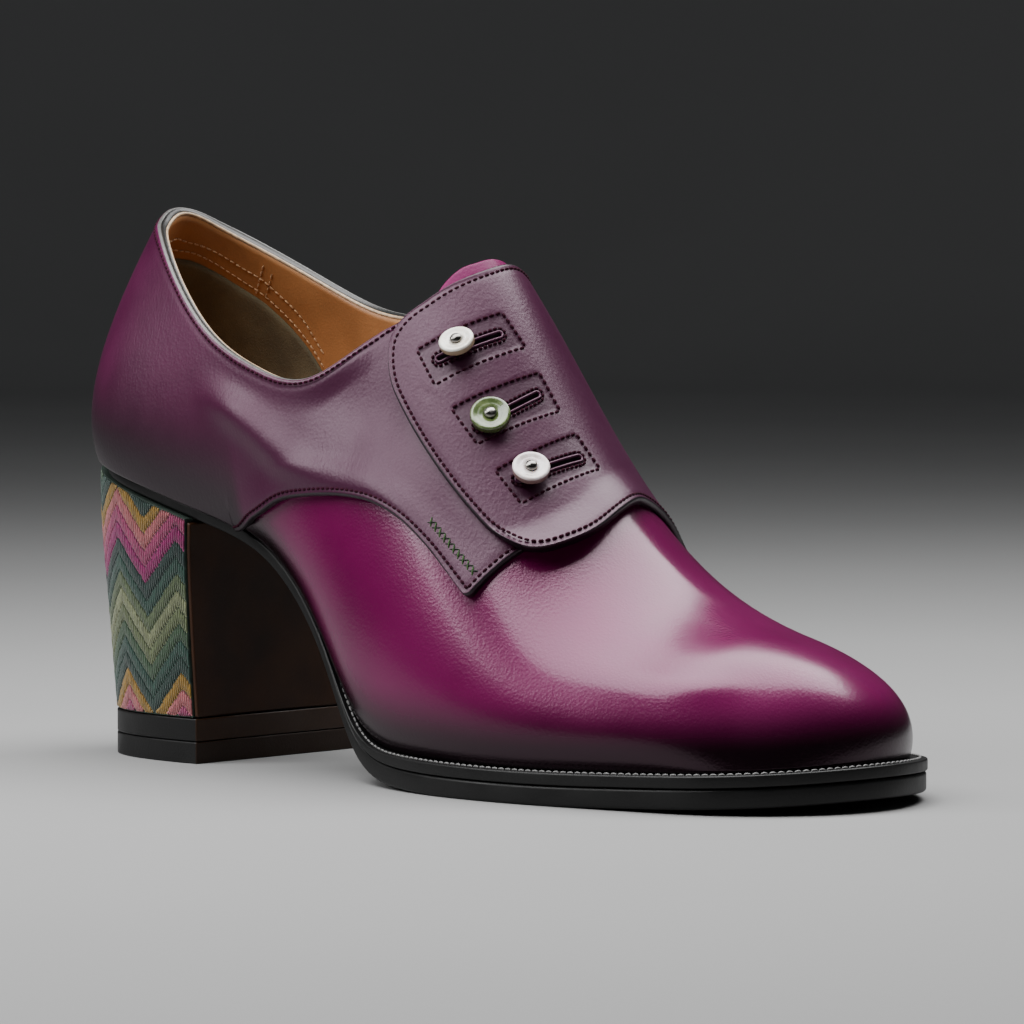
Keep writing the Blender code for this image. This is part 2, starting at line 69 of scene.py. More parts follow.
crownTable = columns("shoulderOut shoulderIn crownOut crownIn top topZ round collarOut collarIn", [
    [22.3, 22.3, 119, 119, 4.5, 151, 0, 0.820, 0.820],
    [22.5, 22.5, 117, 117, 0.5, 155.5, 0, 0.775, 0.775],
    [23.0, 23.0, 115, 115, 2.4, 156, 0, 0.730, 0.730],
    [27.0, 29.0, 111, 111, 10, 160, 0, 0.580, 0.630],
    [30.0, 29.0, 109, 109, 13, 158, 0, 0.530, 0.620],
    [32.0, 32.0, 109, 109, 9, 160, 4, 0.566, 0.662],
    [34.0, 33.0, 108, 108, 0, 150, 10, 0.707, 0.755],
    [34.0, 31.0, 95, 95, 0, 123, 10, 0.865, 0.865],
    [32.0, 28.0, 71, 71, 0, 83, 9, 1, 1],
    [28.5, 27.0, 46.5, 50, 0, 54, 8, 1, 1],
    [27.5, 25.5, 38, 39, 0, 42, 4, 1, 1],
    [25.5, 26.0, 37, 35.5, 0, 40.5, 0, 1, 1],
    [27.0, 27.0, 35, 33, 0, 40.5, 0, 1, 1],
    [27.5, 27.5, 33.5, 33.5, 0, 40.5, 0, 1, 1],
])
soleTable = columns("ledge welt sole", [
    [-0.3, 0.0, 3.1],
    [-0.3, 0.0, 3.1],
    [-0.3, 0.0, 3.1],
    [0.3, 0.0, 3.1],
    [-0.5, 0.1, 3.6],
    [0.5, 0.7, 4.0],
    [2.5, 1.6, 4.4],
    [3.8, 2.6, 4.7],
    [4.0, 2.8, 4.7],
    [4.0, 2.8, 4.7],
    [4.0, 2.8, 4.7],
    [4.0, 2.8, 4.7],
    [4.0, 2.8, 4.7],
    [4.2, 2.8, 4.7],
])
toeRow = len(baseTable["x"]) - 1
ringLength = 2 * toeRow
lastRows = {
    "arch": 5.0, "ridge": 6.0, "throat": 8.0, "level": 10.0, "toeFan": 11.0, "toeLimit": 0.97,
    "roundFull": 0.5,
}
seatPlane = {"back": 76.3, "slope": 0.2755, "end": 51.0, "heelFan": 32.0, "toeFan": 200.0}
leatherLayers = {"overlay": 1.4, "gap": 0.35, "plateGap": 0.15}
quarterLift = leatherLayers["gap"] + leatherLayers["overlay"]  # a quarter's face over the last
farAway = 99.0  # stands for no edge near
perMetre = 1000  # millimetres


# The sections joined into one ring round the shoe: outer side to the toe, inner side back
def ringTable():
    column = {**baseTable, **crownTable, **soleTable}
    middle = 0.5 * (column["shoulderOut"] + column["shoulderIn"])
    column["slope"] = (column["topZ"] - column["crownIn"]) / (middle - column["top"])
    sides = {}
    for side, sign in (("Out", -1), ("In", 1)):
        picked = {"angle": sign * column["turn"]}
        for name in "x y rise top topZ round slope ledge welt sole".split():
            picked[name] = column[name]
        for name in "edge foot bulge shoulder crown collar".split():
            picked[name] = column[name + side]
        sides[side] = picked
    joined = {}
    for name in sides["Out"]:
        joined[name] = np.concatenate([sides["Out"][name], sides["In"][name][toeRow - 1:0:-1]])
    joined["angle"] = joined["angle"] - (-180 + 360 * np.arange(ringLength) / ringLength)
    return joined


# Second derivatives of the closed cubic spline through the ring's values
def ringCurvature(values):
    count = len(values)
    system = 4 * np.eye(count) + np.roll(np.eye(count), 1, 0) + np.roll(np.eye(count), -1, 0)
    return np.linalg.solve(system, 6 * (np.roll(values, -1) - 2 * values + np.roll(values, 1)))


ring = ringTable()
ringBend = {name: ringCurvature(values) for name, values in ring.items()}


def ringValue(name, v):
    low = np.floor(v).astype(int)
    f = v - low
    i, j = low % ringLength, (low + 1) % ringLength
    curve = ((1 - f) ** 3 - (1 - f)) * ringBend[name][i] + (f ** 3 - f) * ringBend[name][j]
    return (1 - f) * ring[name][i] + f * ring[name][j] + curve / 6


def section(v):
    v = np.asarray(v, float)
    out = {name: ringValue(name, v) for name in ring}
    out["angle"] = np.radians(out["angle"] - 180 + 360 * v / ringLength)
    fromHeel = toeRow - np.abs(v % ringLength - toeRow)
    for name in ("x", "y", "top", "topZ", "round", "slope"):
        out[name] = ringValue(name, np.minimum(fromHeel, lastRows["toeFan"]))
    out["top"] = np.where(fromHeel < lastRows["ridge"], np.maximum(out["top"], 0), 0)
    out["round"] = np.maximum(out["round"], 0)
    out["collar"] = np.where(fromHeel < lastRows["throat"], np.minimum(out["collar"], 1), 1)
    return out


def smooth(x, low, high):
    f = np.clip((x - low) / (high - low), 0, 1)
    return f * f * (3 - 2 * f)


def between(first, second, share):
    return first + (second - first) * share


# Point of the last at ring place v and girth share t: a cubic curve from edge to ridge, with the
# ridge rounded by putting sqrt(r*r + round*round) for the radius r in the falling part of the height
def last(v, t):
    v, t = np.broadcast_arrays(np.asarray(v, float), np.asarray(t, float))
    s = section(v)
    b0, b1, b2, b3 = (1 - t) ** 3, 3 * (1 - t) ** 2 * t, 3 * (1 - t) * t ** 2, t ** 3
    r = b0 * s["edge"] + b1 * (s["edge"] + s["bulge"]) + b2 * s["shoulder"] + b3 * s["top"]
    z = b0 * s["foot"] + b1 * (s["foot"] + s["rise"]) + b2 * s["crown"] + b3 * s["topZ"]
    z = z - s["slope"] * (np.sqrt(r * r + s["round"] ** 2) - r) * smooth(t, 0, lastRows["roundFull"])
    return np.stack([s["x"] + r * np.cos(s["angle"]), s["y"] + r * np.sin(s["angle"]), z], -1)


def unit(vectors):
    return vectors / np.maximum(np.linalg.norm(vectors, axis=-1, keepdims=True), 1e-9)


# Direction out of the last: cross product of its two directions of travel
def outward(v, t):
    step = 1e-3
    near = np.minimum(t, lastRows["toeLimit"])
    along = last(v + step, near) - last(v - step, near)
    up = last(v, np.minimum(t + step, 1)) - last(v, np.maximum(t - step, 0))
    return unit(np.cross(along, up))


def onLast(v, t, height):
    v, t, height = np.broadcast_arrays(np.asarray(v, float), np.asarray(t, float), np.asarray(height, float))
    return last(v, t) + outward(v, t) * height[..., None]


# Section number u and share w from the inner edge (0) over the ridge (1) to the outer edge (2)
def ridgePlace(u, w):
    u, w = np.broadcast_arrays(np.asarray(u, float), np.asarray(w, float))
    return np.where(w > 1, u, ringLength - u), np.where(w > 1, 2 - w, w)


# Smooth curve through the rows of a table, by row number
def throughRows(table, row):
    rows = np.stack(list(table.values()), 1)
    padded = np.vstack([2 * rows[0] - rows[1], rows, 2 * rows[-1] - rows[-2]])
    i = np.minimum(np.floor(row).astype(int), len(rows) - 2)
    f = (row - i)[:, None]
    a, b, c, d = padded[i], padded[i + 1], padded[i + 2], padded[i + 3]
    square = 2 * a - 5 * b + 4 * c - d
    cube = 3 * b - a - 3 * c + d
    curve = 0.5 * (2 * b + (c - a) * f + square * f ** 2 + cube * f ** 3)
    return {name: curve[:, k] for k, name in enumerate(table)}


# The rows of a table, each with its column names
def tableRows(table):
    return [dict(zip(table, values)) for values in zip(*table.values())]


# Distance run along a path of points
def runLength(points):
    return np.pad(np.cumsum(np.linalg.norm(np.diff(points, axis=0), axis=1)), (1, 0))


# Values of a path at given distances along it
def alongPath(places, run, values):
    return np.stack([np.interp(places, run, values[:, k]) for k in range(3)], -1)


# Mesh helpers
def makeMesh(name, points, faceSets, marks=None):
    mesh = bpy.data.meshes.new(name)
    flat = toMetres(np.reshape(points, (-1, 3)))
    corners = np.concatenate([faces.ravel() for faces in faceSets])
    lengths = np.concatenate([np.full(len(faces), faces.shape[1]) for faces in faceSets])
    mesh.vertices.add(len(flat))
    mesh.vertices.foreach_set("co", flat.ravel())
    mesh.loops.add(len(corners))
    mesh.loops.foreach_set("vertex_index", corners.astype(np.int32))
    mesh.polygons.add(len(lengths))
    mesh.polygons.foreach_set("loop_start", (np.cumsum(lengths) - lengths).astype(np.int32))
    for mark, values in (marks or {}).items():
        values = np.asarray(values, float)
        if values.shape[-1:] == (4,):
            layer = mesh.attributes.new(mark, "FLOAT_COLOR", "POINT")
            layer.data.foreach_set("color", values.ravel())
        else:
            layer = mesh.attributes.new(mark, "FLOAT", "POINT")
            layer.data.foreach_set("value", values.ravel())
    mesh.update(calc_edges=True)
    mesh.validate()
    mesh.shade_smooth()
    piece = bpy.data.objects.new(name, mesh)
    bpy.context.scene.collection.objects.link(piece)
    return piece


# Corner numbers of a grid's faces, closed round in either direction if asked
def gridFaces(rows, across, wrapRows=False, wrapAcross=False):
    index = np.arange(rows * across).reshape(rows, across)
    if wrapRows:
        index = np.vstack([index, index[:1]])
    if wrapAcross:
        index = np.hstack([index, index[:, :1]])
    return np.stack([index[:-1, :-1], index[1:, :-1], index[1:, 1:], index[:-1, 1:]], -1).reshape(-1, 4)


# Unit normals of a grid: cross product of its two directions of travel
def gridNormals(points):
    return unit(np.cross(np.gradient(points, axis=0), np.gradient(points, axis=1)))


# An open surface whose faces look along "facing"
def sheetPiece(name, points, facing, marks=None):
    faces = gridFaces(*points.shape[:2])
    if np.sum(gridNormals(points) * facing) < 0:
        faces = faces[:, ::-1]
    return joinDoubles(makeMesh(name, points, [faces], marks))


# A closed wall between an outer and an inner surface of the same grid, with its rims. Marks of the inner
# surface are the outer one's.
def wallPiece(name, outer, inner, facing, marks=None):
    rows, across = outer.shape[:2]
    index = np.arange(rows * across).reshape(rows, across)
    border = np.concatenate([index[0, :-1], index[:-1, -1], index[-1, :0:-1], index[:0:-1, 0]])
    after = np.roll(border, -1)
    under = rows * across
    face = gridFaces(rows, across)
    rim = np.stack([border, border + under, after + under, after], 1)
    faceSets = [face, face[:, ::-1] + under, rim[:, ::-1]]
    if np.sum(gridNormals(outer) * facing) < 0:
        faceSets = [faces[:, ::-1] for faces in faceSets]
    doubled = {mark: np.tile(values.ravel(), 2) for mark, values in (marks or {}).items()}
    points = np.concatenate([outer.reshape(-1, 3), inner.reshape(-1, 3)])
    return makeMesh(name, points, faceSets, doubled)


joinDistance = 2e-6  # metres


def joinDoubles(piece, turnOut=False):
    build = bmesh.new()
    build.from_mesh(piece.data)
    bmesh.ops.remove_doubles(build, verts=build.verts, dist=joinDistance)
    if turnOut:
        bmesh.ops.recalc_face_normals(build, faces=build.faces)
    build.to_mesh(piece.data)
    build.free()
    return piece


# A closed loft: rings of points, with flat ends
def loftPiece(name, rings, marks=None, capped=True):
    rows, across = rings.shape[:2]
    faceSets = [gridFaces(rows, across, wrapAcross=True)]
    if capped:
        first = np.arange(across)[None]
        faceSets += [first, first[:, ::-1] + (rows - 1) * across]
    return joinDoubles(makeMesh(name, rings, faceSets, marks), turnOut=True)


def giveWall(piece, thickness):
    solid = piece.modifiers.new("wall", "SOLIDIFY")
    solid.thickness = thickness / perMetre
    solid.offset = -1
    solid.use_even_offset = False


bevelSizes = {"segments": 3, "angle": 35, "sharpAngle": 60}


def giveEdges(piece, width):
    bevel = piece.modifiers.new("edges", "BEVEL")
    bevel.width = width / perMetre
    bevel.segments = bevelSizes["segments"]
    bevel.limit_method = "ANGLE"
    bevel.angle_limit = np.radians(bevelSizes["angle"])
    piece.data.set_sharp_from_angle(angle=np.radians(bevelSizes["sharpAngle"]))


def finishPiece(piece, material, slot, *nodes):
    piece.data.materials.clear()
    piece.data.materials.append(material)
    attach(piece, "root")
    if nodes:
        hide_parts(*nodes)
    return piece


# Threads. A stitch is a short tube from its start to its end that arches up from the leather and tapers
# into it.
stitchShape = {"share": (0.0, 0.15, 0.5, 0.85, 1.0), "girth": (0.45, 0.9, 1.0, 0.9, 0.45), "sides": 6}


def threadPiece(name, stitches, size, colours=None):
    starts, ends, normals = stitches
    share, girth = np.array(stitchShape["share"]), np.array(stitchShape["girth"])
    sides = stitchShape["sides"]
    turn = 2 * np.pi * np.arange(sides) / sides
    run = unit(ends - starts)
    side = unit(np.cross(run, normals))
    out = np.cross(side, run)
    middle = starts[:, None] + (ends - starts)[:, None] * share[:, None]
    lift = size["arch"] * 4 * share * (1 - share) - size.get("sink", 0)
    middle = middle + normals[:, None] * lift[:, None]
    reach = size["radius"] * girth
    ringOut = np.cos(turn)[:, None] * side[:, None, None] + np.sin(turn)[:, None] * out[:, None, None]
    points = middle[:, :, None] + ringOut * reach[:, None, None]
    count, rows = points.shape[:2]
    base = (np.arange(count) * rows * sides)[:, None, None]
    tubes = (gridFaces(rows, sides, wrapAcross=True) + base).reshape(-1, 4)
    caps = np.stack([np.arange(sides)[::-1], (rows - 1) * sides + np.arange(sides)])
    caps = (caps + base).reshape(-1, sides)
    marks = {}
    if colours is not None:
        marks["thread"] = np.broadcast_to(colours[:, None, None, :], points.shape[:3] + (4,))
    return makeMesh(name, points, [tubes[:, ::-1], caps[:, ::-1]], marks)


# Even stitches along a path with its normals: starts, ends and normals
def stitchesAlong(points, normals, size):
    run = runLength(points)
    count = max(int(run[-1] / size["pitch"]), 1)
    middle = (np.arange(count) + 0.5) * run[-1] / count
    starts, ends = (alongPath(middle + part * size["length"], run, points) for part in (-0.5, 0.5))
    return starts, ends, unit(alongPath(middle, run, normals))


def joinStitches(rows):
    return [np.concatenate([row[k] for row in rows]) for k in range(3)]


# A tube of a given radius along a closed path
def tubePiece(name, path, normals, radius, sides, marks):
    travel = unit(np.roll(path, -1, 0) - np.roll(path, 1, 0))
    side = unit(np.cross(travel, normals))
    out = np.cross(side, travel)
    turn = 2 * np.pi * np.arange(sides) / sides
    ringOut = np.cos(turn)[:, None] * side[:, None] + np.sin(turn)[:, None] * out[:, None]
    points = path[:, None] + ringOut * radius
    filled = {mark: np.full(points.shape[:2], value) for mark, value in marks.items()}
    return makeMesh(name, points, [gridFaces(len(path), sides, True, True)[:, ::-1]], filled)


# A sheet keeps its grid, so that seams can be read from it later
def sheetAt(sheet, row, col):
    i = np.interp(row, sheet["rows"], np.arange(len(sheet["rows"])))
    j = np.interp(col, sheet["cols"], np.arange(len(sheet["cols"])))
    i0 = np.minimum(i.astype(int), len(sheet["rows"]) - 2)
    j0 = np.minimum(j.astype(int), len(sheet["cols"]) - 2)
    f, g = (i - i0)[:, None], (j - j0)[:, None]

    def read(grid):
        low = grid[i0, j0] * (1 - f) + grid[i0 + 1, j0] * f
        high = grid[i0, j0 + 1] * (1 - f) + grid[i0 + 1, j0 + 1] * f
        return low * (1 - g) + high * g

    return read(sheet["points"]), unit(read(sheet["normals"]))


# Even lines with a few close ones near both ends, for rounded edges
def edgeAxis(even, length, near=(0, 0.05, 0.15, 0.3, 0.5, 0.8, 1.3)):
    close = np.array(near) / length
    inner = even[(even > close[-1]) & (even < 1 - close[-1])]
    return np.concatenate([close, inner, 1 - close[::-1]])


# Distances over a grid from its four borders
def borderDistances(points):
    across = np.linalg.norm(np.diff(points, axis=1), axis=-1)
    along = np.linalg.norm(np.diff(points, axis=0), axis=-1)
    fromLow = np.pad(np.cumsum(across, 1), ((0, 0), (1, 0)))
    fromStart = np.pad(np.cumsum(along, 0), ((1, 0), (0, 0)))
    return fromLow, fromLow[:, -1:] - fromLow, fromStart, fromStart[-1:] - fromStart


# How far a rounded edge or corner of a given radius draws back, at a distance from its end
def edgeDrop(distance, radius):
    f = np.clip(1 - distance / radius, 0, 1)
    return radius * (1 - np.sqrt(1 - f * f))


# Shader helpers. A new material comes with its node tree and the place on the object.
def newMaterial(name):
    material = bpy.data.materials.new(name)
    material.use_nodes = True
    return material, material.node_tree, addNode(material.node_tree, "TexCoord").outputs["Object"]


# Values or links for a node's sockets
def feedNode(tree, node, inputs):
    for name, value in inputs.items():
        socket = node.inputs[name]
        if isinstance(value, bpy.types.NodeSocket):
            tree.links.new(value, socket)
        elif socket.type == "RGBA":
            socket.default_value = (*value, 1)
        else:
            socket.default_value = value


def feedShader(tree, inputs):
    feedNode(tree, tree.nodes["Principled BSDF"], inputs)


def addNode(tree, kind, inputs=None, **settings):
    made = tree.nodes.new("ShaderNode" + kind)
    for name, value in settings.items():
        setattr(made, name, value)
    feedNode(tree, made, inputs or {})
    return made


# The colours' sockets of a mix node have numbers 6 and 7
def mixColour(tree, factor, first, second):
    return addNode(tree, "Mix", {0: factor, 6: first, 7: second}, data_type="RGBA").outputs[2]


def rangeOf(tree, value, fromMin, fromMax, toMin, toMax):
    inputs = {"Value": value, "From Min": fromMin, "From Max": fromMax, "To Min": toMin, "To Max": toMax}
    return addNode(tree, "MapRange", inputs, interpolation_type="SMOOTHSTEP").outputs[0]


def noiseOf(tree, vector, scale, detail=2.0, roughness=0.5):
    inputs = {"Vector": vector, "Scale": scale, "Detail": detail, "Roughness": roughness}
    return addNode(tree, "TexNoise", inputs).outputs["Fac"]


def cellsOf(tree, vector, scale, smoothness=0.4):
    inputs = {"Vector": vector, "Scale": scale, "Smoothness": smoothness}
    return addNode(tree, "TexVoronoi", inputs, feature="SMOOTH_F1").outputs["Distance"]


def markOf(tree, name):
    return addNode(tree, "Attribute", attribute_name=name).outputs["Fac"]


def bumpOf(tree, height, distance, normal=None):
    inputs = {"Height": height, "Distance": distance / perMetre, "Strength": 1.0}
    if normal is not None:
        inputs["Normal"] = normal
    return addNode(tree, "Bump", inputs).outputs[0]


# From a deep tone to a light one over a span of a noise
def twoTone(tree, noise, span, deep, colour):
    return mixColour(tree, rangeOf(tree, noise, *span, 0, 1), deep, colour)


# Finished leather: two tones in soft clouds, pebbled grain, fine pores and slanted creases, gloss that
# varies, a fade along the shoe, and other tones where marks say so. The mark "edge" (distance from a cut
# edge) gives black edge paint, carried wide enough to stand in for the shadow of the edge too; "low"
# (height over the welt) gives a darkening that is painted shade, on the vamp partly also a burnished
# finish; "slot" (depth in a buttonhole) and "box" (inside a box of stitches) give painted shade in
# those recesses
plainLook = {
    "cloudDetail": 4, "cloudSpan": (0.3, 0.7), "poreDetail": 3, "poreRoughness": 0.6,
    "grainSpan": (0.0, 0.7), "grainShade": 0.2, "edgeSoft": 0.6, "slotSpan": (0.25, 0.6), "coat": 0.0,
    "coatRoughness": 0.25, "specular": 0.5, "tint": (1, 1, 1),
}


def leatherMaterial(name, ownLook):
    look = {**plainLook, **ownLook}
    material, tree, spot = newMaterial(name)
    clouds = noiseOf(tree, spot, perMetre / look["cloudSize"], look["cloudDetail"])
    cells = cellsOf(tree, spot, perMetre / look["grainSize"])
    pores = noiseOf(tree, spot, perMetre / look["poreSize"], look["poreDetail"], look["poreRoughness"])
    grain = bumpOf(tree, cells, look["grainDepth"])
    grain = bumpOf(tree, pores, look["poreDepth"], grain)
    colour = twoTone(tree, clouds, look["cloudSpan"], look["deep"], look["colour"])
    if "fade" in look:
        fade = look["fade"]
        along = addNode(tree, "SeparateXYZ", {"Vector": spot}).outputs["X"]
        span = [fade[end] / perMetre for end in ("from", "to")]
        colour = twoTone(tree, along, span, colour, fade["colour"])
    creased = rangeOf(tree, cells, *look["grainSpan"], 0, look["grainShade"])
    colour = mixColour(tree, creased, colour, look["deep"])
    # Darker towards the low edge: painted shade, on the vamp partly also a burnished finish
    if "burnishShade" in look:
        low = rangeOf(tree, markOf(tree, "low"), *look["burnishShade"], 1, 0)
        colour = mixColour(tree, low, colour, look["burnishShadeColour"])
    # Black edge paint, wide enough to stand in for the edge's shadow too, and painted shade in the
    # buttonhole slots and inside the stitched boxes
    if "edgePaintAndShadeColour" in look:
        width = look["edgeWidth"]
        rim = rangeOf(tree, markOf(tree, "edge"), width * look["edgeSoft"], width, 1, 0)
        hole = rangeOf(tree, markOf(tree, "slot"), *look["slotSpan"], 0, 1)
        box = rangeOf(tree, markOf(tree, "box"), 0, 1, 0, look["boxShade"])
        for share in (rim, hole, box):
            colour = mixColour(tree, share, colour, look["edgePaintAndShadeColour"])
    if "crease" in look:
        crease = look["crease"]
        slanted = addNode(tree, "Mapping", {"Vector": spot, "Rotation": (0, np.radians(crease["slant"]), 0),
                                            "Scale": crease["stretch"]}).outputs[0]
        grain = bumpOf(tree, noiseOf(tree, slanted, perMetre / crease["size"]), crease["depth"], grain)
    feedShader(tree, {
        "Base Color": colour, "Normal": grain,
        "Roughness": rangeOf(tree, clouds, *look["cloudSpan"], *look["roughness"]),
        "Coat Weight": look["coat"], "Coat Roughness": look["coatRoughness"],
        "Specular IOR Level": look["specular"], "Specular Tint": look["tint"],
    })
    return material


plainThread = {
    "fibreSize": 0.25, "fibreSpan": (0.35, 0.65), "fibreDepth": 0.05, "sheen": 0.3, "specular": 0.5,
}


def threadMaterial(name, ownLook):
    look = {**plainThread, **ownLook}
    material, tree, spot = newMaterial(name)
    fibres = noiseOf(tree, spot, perMetre / look["fibreSize"])
    feedShader(tree, {
        "Base Color": twoTone(tree, fibres, look["fibreSpan"], look["deep"], look["colour"]),
        "Normal": bumpOf(tree, fibres, look["fibreDepth"]), "Roughness": look["roughness"],
        "Sheen Weight": look["sheen"], "Specular IOR Level": look["specular"],
    })
    return material


# Binding or floss: the colour of the mark "thread" with a second tone in streaks
def streakMaterial(name, look):
    material, tree, spot = newMaterial(name)
    stretched = addNode(tree, "Mapping", {"Vector": spot, "Scale": look["stretch"]}).outputs[0]
    streaks = noiseOf(tree, stretched, look["scale"], look["detail"])
    own = addNode(tree, "Attribute", attribute_name="thread").outputs["Color"]
    second = mixColour(tree, look["share"], own, look["second"])
    feedShader(tree, {
        "Base Color": twoTone(tree, streaks, look["span"], second, own), "Roughness": look["roughness"],
        "Normal": bumpOf(tree, streaks, look["depth"]), "Sheen Weight": look["sheen"],
    })
    return material


# Pearl or metal: soft clouds between two near tones, gloss that varies, and another tone on the side
# (the mark "side")
polish = {"detail": 3, "toneSpan": (0.35, 0.65), "glossSpan": (0.3, 0.7)}


def polishedMaterial(name, look, colour, deep, side=None):
    material, tree, spot = newMaterial(name)
    clouds = noiseOf(tree, spot, look["scale"], polish["detail"])
    face = twoTone(tree, clouds, polish["toneSpan"], deep, colour)
    if side:
        face = mixColour(tree, markOf(tree, "side"), face, side)
    gloss = rangeOf(tree, clouds, *polish["glossSpan"], *look["roughness"])
    feedShader(tree, {"Base Color": face, "Roughness": gloss, **look["finish"]})
    return material


magentaLeather = leatherMaterial("magenta_waxed_leather", {
    "colour": (0.130, 0.0, 0.056), "deep": (0.098, 0.0, 0.042), "cloudSize": 34,
    "grainSize": 0.7, "poreSize": 0.4, "grainShade": 0.10, "grainDepth": 0.025, "poreDepth": 0.025,
    "roughness": (0.22, 0.27), "coat": 0.14, "coatRoughness": 0.13, "specular": 0.44,
    # Near black towards the welt: a burnished finish and painted shade
    "tint": (1.0, 0.62, 0.80), "burnishShade": (4.0, 18.0), "burnishShadeColour": (0.003, 0.0, 0.0015),
})
plumLeather = leatherMaterial("plum_satin_leather", {
    "colour": (0.066, 0.001, 0.032), "deep": (0.044, 0.001, 0.022), "cloudSize": 24,
    "grainSize": 0.8, "poreSize": 0.4, "grainShade": 0.25, "grainDepth": 0.025, "poreDepth": 0.022,
    "roughness": (0.38, 0.46), "specular": 0.52, "tint": (1.0, 0.82, 0.92),
    # Edge paint that also stands in for the shadow of the cut edges; the same black is painted shade in the
    # slots, and a share of it in the boxes
    "edgePaintAndShadeColour": (0.004, 0.003, 0.004), "edgeWidth": 0.8, "boxShade": 0.35,
    # Near black at the low edge by the heel seat: painted shade
    "burnishShade": (4.0, 28.0), "burnishShadeColour": (0.004, 0.001, 0.003),
    # Darker towards the front of the quarter: painted shade beside the flap
    "fade": {"from": -85, "to": -20, "colour": (0.040, 0.001, 0.022)},
    "crease": {"slant": 35, "stretch": (1.0, 0.5, 0.28), "size": 0.8, "depth": 0.045},
})
tongueLeather = leatherMaterial("magenta_tongue_leather", {
    "colour": (0.17, 0.0, 0.076), "deep": (0.13, 0.0, 0.058), "cloudSize": 18,
    "grainSize": 0.8, "poreSize": 0.35, "grainShade": 0.15, "grainDepth": 0.03, "poreDepth": 0.015,
    "roughness": (0.4, 0.5), "specular": 0.25, "tint": (1.0, 0.70, 0.85),
})
tanLining = leatherMaterial("tan_lining_leather", {
    "colour": (0.42, 0.185, 0.060), "deep": (0.31, 0.130, 0.042), "cloudSize": 15,
    "grainSize": 0.6, "poreSize": 0.3, "grainDepth": 0.03, "poreDepth": 0.02, "roughness": (0.5, 0.62),
})
oliveSuede = leatherMaterial("olive_suede", {
    "colour": (0.150, 0.126, 0.070), "deep": (0.092, 0.076, 0.042), "cloudSize": 8,
    "grainSize": 0.5, "poreSize": 0.25, "grainDepth": 0.06, "poreDepth": 0.06, "roughness": (0.85, 0.95),
})
# Brown leather, made darker to stand in for the shade under the arch: painted shade
brownLeather = leatherMaterial("brown_breast_leather", {
    "colour": (0.046, 0.017, 0.006), "deep": (0.024, 0.009, 0.004), "cloudSize": 14,
    "grainSize": 0.6, "poreSize": 0.3, "grainDepth": 0.02, "poreDepth": 0.02,
    "roughness": (0.36, 0.46), "specular": 0.25,
})
blackLook = {
    "colour": (0.006, 0.006, 0.006), "deep": (0.003, 0.003, 0.003), "cloudSize": 12,
    "grainSize": 0.8, "poreSize": 0.3, "grainDepth": 0.02, "poreDepth": 0.02,
    "roughness": (0.38, 0.5), "specular": 0.3,
}
blackLeather = leatherMaterial("black_edge_leather", blackLook)
# Lifts: black all round, brown on the front face
liftLeather = leatherMaterial("lift_leather", {
    **blackLook, "fade": {"from": -70.1, "to": -69.9, "colour": (0.040, 0.017, 0.007)},
})
blackRubber = leatherMaterial("black_rubber", {
    "colour": (0.007, 0.007, 0.007), "deep": (0.004, 0.004, 0.004), "cloudSize": 10,
    "grainSize": 0.6, "poreSize": 0.3, "grainDepth": 0.03, "poreDepth": 0.03,
    "roughness": (0.45, 0.6), "specular": 0.3,
    "fade": {"from": -70.1, "to": -69.9, "colour": (0.026, 0.012, 0.006)},
})
heelCloth = leatherMaterial("heel_ground_cloth", {
    "colour": (0.030, 0.055, 0.040), "deep": (0.018, 0.032, 0.024), "cloudSize": 4,
    "grainSize": 0.45, "poreSize": 0.3, "grainShade": 0.4, "grainDepth": 0.08, "poreDepth": 0.05,
    "roughness": (0.7, 0.85),
})
purpleThread = threadMaterial("purple_thread", {
    "colour": (0.040, 0.003, 0.015), "deep": (0.014, 0.001, 0.005), "roughness": 0.85,
    "specular": 0.12, "sheen": 0.0})
tanThread = threadMaterial("tan_thread", {
    "colour": (0.58, 0.36, 0.18), "deep": (0.42, 0.24, 0.11), "roughness": 0.6})
silverThread = threadMaterial("silver_thread", {
    "colour": (0.22, 0.215, 0.21), "deep": (0.12, 0.12, 0.12), "fibreSize": 0.3, "roughness": 0.5})
darkGreenThread = threadMaterial("dark_green_thread", {
    "colour": (0.010, 0.014, 0.006), "deep": (0.005, 0.007, 0.003), "roughness": 0.6,
    "specular": 0.25, "sheen": 0.05})
greenThread = threadMaterial("green_thread", {
    "colour": (0.045, 0.110, 0.022), "deep": (0.012, 0.030, 0.007), "fibreSize": 0.4, "roughness": 0.6,
    "specular": 0.25, "sheen": 0.05})
bindingLeather = streakMaterial("topline_binding_leather", {
    "scale": 700, "stretch": (1.0, 1.0, 1.0), "detail": 3, "share": 0.35, "second": (0.02, 0.01, 0.01),
    "span": (0.35, 0.6), "depth": 0.04, "roughness": 0.34, "sheen": 0.0})
silkFloss = streakMaterial("silk_floss", {
    "scale": 9000, "stretch": (1.0, 1.0, 0.12), "detail": 2, "share": 0.6, "second": (0.0, 0.0, 0.0),
    "span": (0.35, 0.6), "depth": 0.06, "roughness": 0.42, "sheen": 0.25})
pearlLook = {"scale": 420, "roughness": (0.22, 0.34), "finish": {
    "Coat Weight": 0.7, "Coat Roughness": 0.08,
    "Subsurface Weight": 0.1, "Subsurface Radius": (0.002, 0.0015, 0.001),
}}
metalLook = {"scale": 900, "roughness": (0.18, 0.32), "finish": {"Metallic": 1.0}}
whitePearl = polishedMaterial(
    "white_pearl", pearlLook, (0.90, 0.87, 0.80), (0.74, 0.68, 0.58), (0.34, 0.24, 0.15))
